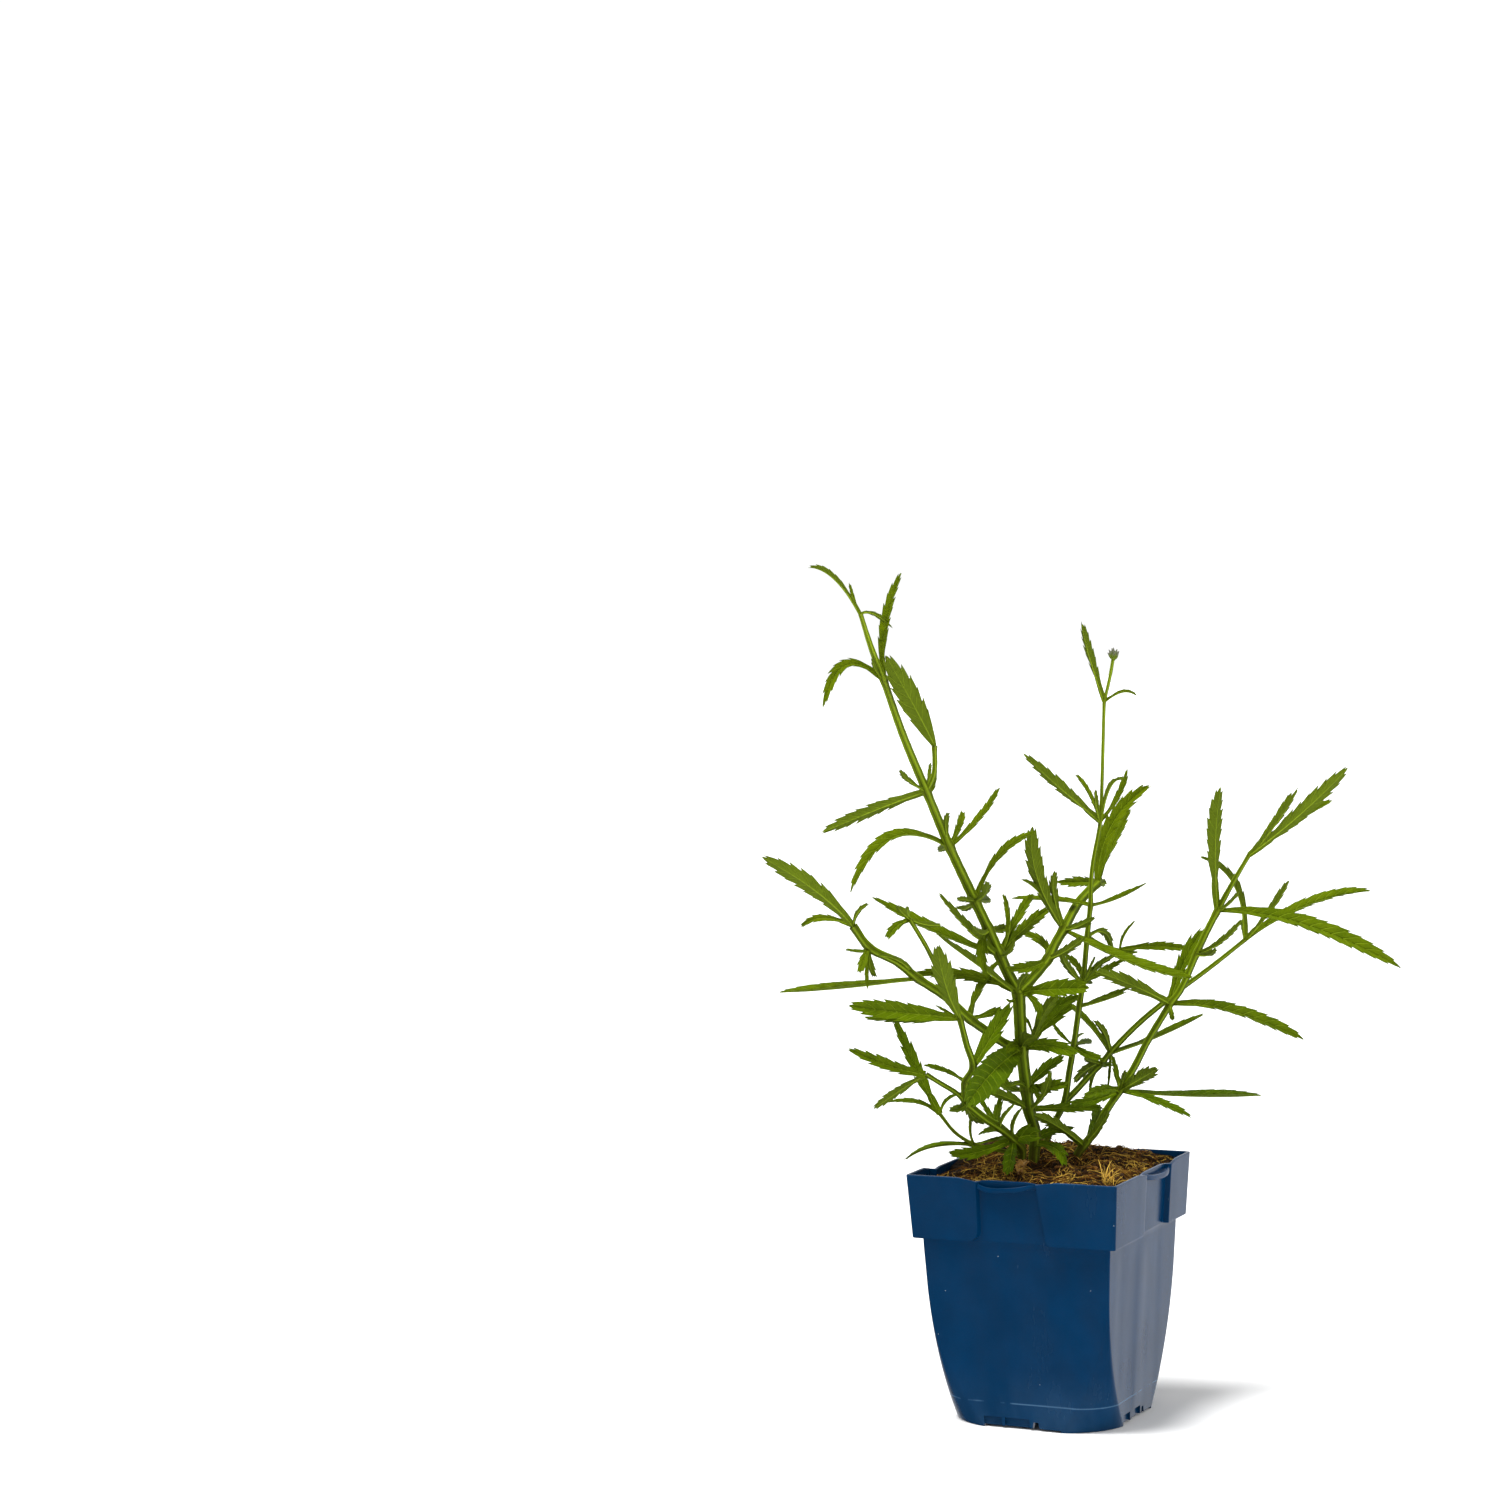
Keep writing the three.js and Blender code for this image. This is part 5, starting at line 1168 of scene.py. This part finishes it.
def build_crumbs(soil, material):
    """Loose crumbs scattered over the mound."""
    rng = random.Random(23)
    shells = Shells()
    shapes = [crumb(rng) for _ in range(24)]
    made = 0
    while made < soil.crumbs:
        x, y = rng.uniform(-51, 51), rng.uniform(-51, 51)
        if not inside_pot(x, y):
            continue
        size = 0.45 + 1.7 * rng.random() ** 3
        points, faces = rng.choice(shapes)
        centre = np.array((x, y, ground(x, y) + size * 0.25))
        tone = rng.random() ** 2 * 0.55
        shells.add(turned(points * size, rng.uniform(0, 6.3)) + centre, faces, growth=(tone, 0, 0))
        made += 1
    return shells.piece("soil_crumbs", [material], 60)


# The plant

def seen_at(spots):
    """Turns the viewer's x, z and depth into points of the pot's own frame."""
    x, z, depth = np.asarray(spots, float).reshape(-1, 3).T
    spread = depth / EYE_DISTANCE
    points = np.stack([x * (1 + spread), depth, z + (z - EYE_HEIGHT) * spread], 1)
    return turned(points, VIEW_TURN)


EYE = turned((0, -EYE_DISTANCE, EYE_HEIGHT), VIEW_TURN)[0]


def curve_through(points, step):
    """Stations on the smooth curve through the points, about a step apart, with their shares of it."""
    points = np.asarray(points, float)
    ends = np.vstack([2 * points[0] - points[1], points, 2 * points[-1] - points[-2]])
    spans = len(points) - 1
    places, aheads, shares = [], [], []
    for i in range(spans):
        p0, p1, p2, p3 = ends[i : i + 4]
        d0, d1, d2 = (np.linalg.norm(b - a) ** 0.5 for a, b in ((p0, p1), (p1, p2), (p2, p3)))
        t1 = ((p1 - p0) / d0 - (p2 - p0) / (d0 + d1) + (p2 - p1) / d1) * d1
        t2 = ((p2 - p1) / d1 - (p3 - p1) / (d1 + d2) + (p3 - p2) / d2) * d1
        square, cube = -3 * p1 + 3 * p2 - 2 * t1 - t2, 2 * p1 - 2 * p2 + t1 + t2
        count = max(2, round(np.linalg.norm(p2 - p1) / step))
        for k in range(count + (i == spans - 1)):
            w = k / count
            places.append(p1 + t1 * w + square * w**2 + cube * w**3)
            aheads.append(t1 + 2 * square * w + 3 * cube * w**2)
            shares.append((i + w) / spans)
    return np.array(places), unit(aheads), np.array(shares)


def add_stem(shells, path, widths, nodes):
    """A square stem with softened edges and shallow grooves, thicker at its nodes."""
    centres, aheads, shares = curve_through(path, STEM_STEP)
    turns = around(STEM_SIDES)
    cos, sin = np.cos(turns)[:, None], np.sin(turns)[:, None]
    edge = np.sin(2 * turns) ** 2
    squared = (np.abs(np.cos(turns)) ** 6 + np.abs(np.sin(turns)) ** 6) ** (-1 / 6) * (0.9 + 0.1 * edge)
    side = np.array((1.0, 0, 0))
    run = 0.0
    rings, places, growths = [], [], []
    for i, (centre, ahead, share) in enumerate(zip(centres, aheads, shares)):
        side = unit(side - side @ ahead * ahead)
        across = np.cross(ahead, side)
        close = np.exp(-(np.min(np.linalg.norm(nodes - centre, axis=1)) / NODE_REACH) ** 2)
        half = lerp(*widths, share) / 2 * (1 + 0.2 * close) * (1 + 0.02 * math.sin(run * 0.9))
        radius = half * (squared * (1 - close * 0.5) + close * 0.5 * 1.08)
        rings.append(centre + radius[:, None] * (cos * side + sin * across))
        places.append(np.stack([edge, np.full(STEM_SIDES, run), np.full(STEM_SIDES, close)], 1))
        # The heights give the dark and the brown low down, partly painted shade near the soil, and the fresh
        # green high up
        tone, brown, fresh = (clamp((centre[2] - low) / (high - low)) for low, high in STEM_HEIGHTS)
        growths.append(np.tile((tone, brown, fresh), (STEM_SIDES, 1)))
        if i + 1 < len(centres):
            run += np.linalg.norm(centres[i + 1] - centre)
    faces = tube_faces(len(rings), STEM_SIDES)
    shells.add(np.concatenate(rings), faces, np.concatenate(places), np.concatenate(growths), STEM_SLOT)


def blade_normal(along, view, share):
    """The blade is turned so that the viewer sees the width asked for, and as far up as that allows."""
    level = unit(np.cross(view, along))
    rise = unit(np.cross(along, level))
    choices = []
    for way in (1, -1):
        across = level * share + rise * way * math.sqrt(1 - share * share)
        normal = unit(np.cross(across, along))
        choices.append(normal if normal[2] >= 0 else -normal)
    return max(choices, key=lambda normal: normal[2])


OUTLINE_ALONG = np.linspace(0, 1, 201)
OUTLINE_HALF = np.interp(OUTLINE_ALONG, *zip(*BLADE_OUTLINE))
SOFTENING = np.exp(-np.linspace(-2, 2, 17) ** 2)
OUTLINE_HALF[8:-8] = np.convolve(OUTLINE_HALF, SOFTENING / SOFTENING.sum(), "same")[8:-8]


def blade_stations(length, spacing):
    """Places along a blade, how far each is towards a tooth's tip, and the number of teeth before it."""
    teeth = int(clamp(round((TOOTHED_TO - TOOTHED_FROM) * length / spacing), 2, 12))
    pace = (TOOTHED_TO - TOOTHED_FROM) / teeth
    along = list(np.linspace(0, TOOTHED_FROM, 6)[:-1])
    tips = [0.0] * 5
    for tooth in range(teeth):
        along += [TOOTHED_FROM + pace * (tooth + part) for part in (0, 0.35, 0.7, 0.95)]
        tips += [0, 0.3, 0.7, 1]
    along = np.array([*along, TOOTHED_TO, lerp(TOOTHED_TO, 1, 0.6), 1])
    return along, np.array([*tips, 0, 0.3, 0]), (along - TOOTHED_FROM) / pace + 0.05, pace


def blade_faces(columns, rows):
    """The faces of both sides of a blade and of its rim. The lower side's points follow the upper side's."""
    end, below = rows - 1, columns * rows
    faces = []
    for row in range(end):
        for left in range(row, row + (columns - 1) * rows, rows):
            right = left + rows
            faces.append((left, right, right + 1, left + 1))
            faces.append((left + below, left + below + 1, right + below + 1, right + below))
        first, last = row, row + (columns - 1) * rows
        faces.append((first, first + 1, first + below + 1, first + below))
        faces.append((last, last + below, last + below + 1, last + 1))
    for left in range(0, (columns - 1) * rows, rows):
        right = left + rows
        faces.append((left, left + below, right + below, right))
        faces.append((left + end, right + end, right + below + end, left + below + end))
    return faces


def add_blade(shells, root, leaf, foliage, rng, tone=0, crumple=0.0):
    """A toothed blade, folded along its midrib, with a groove above and a ridge below the rib."""
    middle_x, middle_z, tip_x, tip_z, tip_depth, seen = leaf
    middle_depth = (root[2] + tip_depth) / 2
    start, middle, tip = seen_at([root, (middle_x, middle_z, middle_depth), (tip_x, tip_z, tip_depth)])
    bend = 2 * middle - 0.5 * start - 0.5 * tip

    def arc(share):
        return start * (1 - share) ** 2 + 2 * bend * share * (1 - share) + tip * share**2

    length = np.linalg.norm(np.diff(arc(np.linspace(0, 1, 60)[:, None]), axis=0), axis=1).sum()
    broad = clamp(seen * 1.05, SLENDERNESS * length, max(BROADEST, seen))
    normal = blade_normal(unit(tip - start), unit(EYE - middle), min(seen / broad, 1))
    narrowing = BASE_NARROWING * clamp((broad - 7) / 4)
    fine = clamp(0.45 + broad / 13, 0.5, 1.1)
    along, tips, teeth, pace = blade_stations(length, foliage.tooth_spacing / MM * fine)
    depth = min(foliage.tooth_depth / MM / (broad / 2) * fine, 0.3)
    waves = [rng.uniform(0, 6.3) for _ in range(3)]
    ripple = rng.uniform(0.5, 1.3)
    slips = {1: rng.uniform(-0.4, 0.4) * pace, -1: rng.uniform(-0.4, 0.4) * pace}
    within = np.clip((along - 0.1) / 0.15, 0, 1) * np.clip((1 - along) / 0.06, 0, 1)
    columns = [-s for s in reversed(BLADE_COLUMNS[1:])] + list(BLADE_COLUMNS)
    upper, lower, places, growths = [], [], [], []
    for s in columns:
        way, share = (1 if s > 0 else -1), abs(s)
        at = along + slips[way] * within * share**2
        outline = np.interp(at, OUTLINE_ALONG, OUTLINE_HALF) * broad / 2
        outline *= 1 - narrowing * np.clip(1 - at / 0.24, 0, 1)
        bite = depth * (1 + 0.4 * np.sin(np.floor(teeth) * 2.4 + waves[way]))
        cut = outline * (1 - bite * within)
        reach = share * cut + share**5 * (outline - cut) * tips
        at = at[:, None]
        ahead = unit(2 * (bend - start) * (1 - at) + 2 * (tip - bend) * at)
        up = unit(normal - (ahead @ normal)[:, None] * ahead)
        across = np.cross(ahead, up)
        fold = foliage.fold * outline * (share**0.9 - 0.7)
        quilt = QUILTING * broad * np.sin(2 * math.pi * (teeth - VEIN_SLANT * share))
        quilt *= math.sin(math.pi * share)
        sway = 0.045 * broad * ripple * share**2 * np.sin(along * 7.5 + waves[way])
        sway = sway + 0.02 * broad * np.sin(along * 5 + waves[0])
        groove = -RIB_GROOVE * (share == 0) * (1 - 0.6 * along)
        rise = fold + (quilt + sway) * within + groove
        if crumple:
            creases = np.array([noise.noise(Vector((s * 2, a * 5, 3.7))) for a in along])
            rise = rise + crumple * (creases + 1.1 * share**2) * within
        lean = 0.5 * pace * length * tips * share**5 * within
        point = arc(at) + across * (way * reach)[:, None] + up * rise[:, None] + ahead * lean[:, None]
        ridge = RIB_RIDGE * max(0.0, 1 - share / 0.15) * (1 - 0.7 * along)
        thick = foliage.blade_thickness / MM * (1 - 0.4 * share) + ridge
        upper.append(point)
        lower.append(point - up * thick[:, None])
        places.append(np.stack([way * reach, teeth, np.ones_like(along)], 1))
        growths.append(np.stack([np.full_like(along, tone), np.full_like(along, share), along], 1))
    marks = np.stack(places + places)
    marks[len(columns):, :, 2] = 0
    growth = np.stack(growths + growths)
    faces = blade_faces(len(columns), len(along))
    shells.add(np.stack(upper + lower), faces, marks.reshape(-1, 3), growth.reshape(-1, 3), LEAF_SLOT)


def add_buds(shells, at):
    """A tuft of small downy buds on the tip of the flower stalk."""
    centre = seen_at(at)[0]
    for i in range(BUDS):
        spread = i / (BUDS - 1)
        angle = i * 2.4
        lean = 0.0 if i == 0 else 0.2 + 0.62 * spread**0.7
        long = 6.8 - 1.8 * spread
        axis = np.array((math.sin(lean) * math.cos(angle), math.sin(lean) * math.sin(angle), math.cos(lean)))
        side = unit(np.cross(axis, (0.31, 0.87, 0.2)))
        across = np.cross(axis, side)
        rings, growths = [], []
        for share in np.linspace(0, 1, 8):
            half = (0.35 + 0.75 * math.sin(math.pi * share**0.8)) * (1 - 0.6 * share**4)
            for turn in around(10):
                bulge = half * (1 + 0.1 * math.cos(5 * turn))
                spot = centre + axis * long * (share - 0.15)
                rings.append(spot + bulge * (math.cos(turn) * side + math.sin(turn) * across))
                growths.append((0.5, 0, share))
        shells.add(rings, tube_faces(8, 10), growth=growths, slot=BUD_SLOT)


def build_leafy_stem(name, stem, foliage, materials, seed):
    """One stem with its branches, leaves and buds, in one piece."""
    rng = random.Random(seed)
    shells = Shells()
    nodes = seen_at([root for root, *_ in stem["leaves"]])
    for widths, rooted, *path in stem["branches"]:
        points = seen_at(path)
        if rooted:
            points = np.vstack([(*points[0][:2], FOOT_DEPTH), points])
        add_stem(shells, points, widths, nodes)
    for root, *leaves in stem["leaves"]:
        for leaf in leaves:
            height = seen_at((leaf[0], leaf[1], root[2]))[0][2]
            # Lower leaves darker, partly by age and partly as painted shade, some at random, and the broadest
            # darker still as painted shade
            tone = (height - 140) / 130 + rng.uniform(-0.25, 0.25) - 0.12 * max(leaf[5] - BROADEST, 0)
            add_blade(shells, root, leaf, foliage, rng, clamp(tone, DEEPEST_SHADE_TONE))
    if "buds" in stem:
        add_buds(shells, stem["buds"])
    return shells.piece(name, materials)


# The stage

def build_floor(stage):
    half = stage.floor_size / 2
    mesh = bpy.data.meshes.new("floor")
    corners = [(-half, -half, 0), (half, -half, 0), (half, half, 0), (-half, half, 0)]
    mesh.from_pydata(corners, [], [(0, 1, 2, 3)])
    mesh.materials.append(floor_material(stage))
    floor = place_object("floor", mesh)
    floor.visible_glossy = False


def add_lamp(name, heading, spread, strength):
    """A broad soft light that shines along a heading and leaves no reflection."""
    light = bpy.data.lights.new(name, "SUN")
    light.energy, light.angle = strength, math.radians(spread)
    lamp = place_object(name, light)
    lamp.rotation_euler = Vector(heading).to_track_quat("-Z", "Y").to_euler()
    lamp.visible_glossy = False


def build_surround(stage):
    """White above and behind the pot, dim low in front of it, and pure white where the camera sees it."""
    world = bpy.data.worlds.new("White surround")
    world.use_nodes = True
    bpy.context.scene.world = world
    nodes = Nodes(world.node_tree)
    background = world.node_tree.nodes["Background"]
    _, away, up = nodes.parts(nodes.add("ShaderNodeTexCoord").outputs["Generated"])
    behind = nodes.plus(away, nodes.times(up, 0.9))
    light = nodes.between(behind, -0.2, 0.68, stage.surround * 0.03, stage.surround)
    rays = nodes.add("ShaderNodeLightPath").outputs
    seen = rays["Is Camera Ray"]
    soft = nodes.times(light, nodes.minus(1, nodes.times(rays["Is Diffuse Ray"], 1 - stage.ambient)))
    strength = nodes.plus(nodes.times(seen, 1.05), nodes.times(nodes.minus(1, seen), soft))
    nodes.link(strength, background.inputs["Strength"])
    background.inputs["Color"].default_value = (1, 1, 1, 1)


def direction(azimuth, elevation):
    """A level heading towards the back, turned left by the azimuth and then raised by the elevation."""
    level = math.cos(elevation)
    return Vector((-math.sin(azimuth) * level, math.cos(azimuth) * level, math.sin(elevation)))


def build_camera(stage):
    """The camera stands where the eye is, and is turned so that the plant lies to the right of the frame."""
    place = Vector((0, 0, CAMERA_MARK)) - direction(VIEW_TURN, -CAMERA_ELEVATION) * CAMERA_DISTANCE
    ahead = direction(CAMERA_YAW, CAMERA_PITCH)
    level = ahead.cross(Vector((0, 0, 1))).normalized()
    up = level.cross(ahead)
    right = level * math.cos(CAMERA_ROLL) + up * math.sin(CAMERA_ROLL)
    upright = up * math.cos(CAMERA_ROLL) - level * math.sin(CAMERA_ROLL)
    lens = bpy.data.cameras.new("camera")
    lens.lens, lens.sensor_width = stage.lens, 36
    camera = place_object("camera", lens)
    camera.matrix_world = Matrix.Translation(place) @ Matrix((right, upright, -ahead)).transposed().to_4x4()
    bpy.context.scene.camera = camera
    bpy.context.scene.view_settings.view_transform = "Standard"


# Operators

class VERBENA_OT_pot(bpy.types.Operator):
    """Build the square nursery pot"""

    bl_idname = "verbena.pot"
    bl_label = "Nursery pot"

    def execute(self, context):
        pot = build_pot(context.scene.verbena_pot)
        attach(pot, ROOT)
        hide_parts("pot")
        return {"FINISHED"}


class VERBENA_OT_soil(bpy.types.Operator):
    """Build the mound of soil with its loose fibres and crumbs"""

    bl_idname = "verbena.soil"
    bl_label = "Soil and fibres"

    def execute(self, context):
        soil = context.scene.verbena_soil
        mound = build_soil(context.scene.verbena_pot, soil)
        fibres = build_fibres(soil)
        crumbs = build_crumbs(soil, fibres.data.materials[0])
        for piece in (mound, fibres, crumbs):
            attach(piece, ROOT)
            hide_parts("soil")
        return {"FINISHED"}


class VERBENA_OT_leafy_stems(bpy.types.Operator):
    """Build the leafy stems with their leaves and buds"""

    bl_idname = "verbena.leafy_stems"
    bl_label = "Leafy stems"

    def execute(self, context):
        foliage = context.scene.verbena_foliage
        materials = [leaf_material(foliage), stem_material(foliage), bud_material(foliage)]
        for seed, (name, stem) in enumerate(LEAFY_STEMS.items()):
            piece = build_leafy_stem(name + "_foliage", stem, foliage, materials, seed)
            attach(piece, ROOT)
            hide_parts(name)
        return {"FINISHED"}


class VERBENA_OT_withered_leaf(bpy.types.Operator):
    """Build the withered leaf that lies on the soil"""

    bl_idname = "verbena.withered_leaf"
    bl_label = "Withered leaf"

    def execute(self, context):
        foliage = context.scene.verbena_foliage
        shells = Shells()
        add_blade(shells, *WITHERED_LEAF, foliage, random.Random(5), crumple=1.6)
        piece = shells.piece("withered_leaf_blade", [withered_material(foliage)])
        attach(piece, ROOT)
        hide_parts("withered_leaf")
        return {"FINISHED"}


class VERBENA_OT_stage(bpy.types.Operator):
    """Set the pale floor, the soft light and the camera"""

    bl_idname = "verbena.stage"
    bl_label = "Stage"

    def execute(self, context):
        stage = context.scene.verbena_stage
        build_floor(stage)
        add_lamp("softbox", (0.2, 0.25, -1), 22, stage.key_strength)
        add_lamp("front_fill", (0.25, 0.9, -0.45), 70, stage.fill_strength)
        add_lamp("side_fill", (-0.85, 0.35, -0.4), 70, stage.side_strength)
        build_surround(stage)
        build_camera(stage)
        return {"FINISHED"}


class VERBENA_PT_panel(bpy.types.Panel):
    """The verbena's settings and pieces"""

    bl_idname = "VERBENA_PT_panel"
    bl_label = "Potted verbena"
    bl_space_type = "VIEW_3D"
    bl_region_type = "UI"
    bl_category = "Verbena"

    def draw(self, context):
        for name, operators in PANEL_ROWS:
            box = self.layout.box()
            settings = getattr(context.scene, name)
            for key in settings.__annotations__:
                box.prop(settings, key)
            for operator in operators:
                box.operator(operator.bl_idname)


SETTINGS = {
    "verbena_pot": VERBENA_PG_pot,
    "verbena_soil": VERBENA_PG_soil,
    "verbena_foliage": VERBENA_PG_foliage,
    "verbena_stage": VERBENA_PG_stage,
}
PANEL_ROWS = [
    ("verbena_pot", [VERBENA_OT_pot]),
    ("verbena_soil", [VERBENA_OT_soil]),
    ("verbena_foliage", [VERBENA_OT_leafy_stems, VERBENA_OT_withered_leaf]),
    ("verbena_stage", [VERBENA_OT_stage]),
]
CLASSES = [*SETTINGS.values(), *(operator for _, row in PANEL_ROWS for operator in row), VERBENA_PT_panel]


def register():
    for made in CLASSES:
        bpy.utils.register_class(made)
    for name, settings in SETTINGS.items():
        setattr(bpy.types.Scene, name, PointerProperty(type=settings))


def unregister():
    for name in SETTINGS:
        delattr(bpy.types.Scene, name)
    for made in reversed(CLASSES):
        bpy.utils.unregister_class(made)


def main():
    register()
    bpy.ops.verbena.pot()
    bpy.ops.verbena.soil()
    bpy.ops.verbena.leafy_stems()
    bpy.ops.verbena.withered_leaf()
    bpy.ops.verbena.stage()


if __name__ == "__main__":
    main()
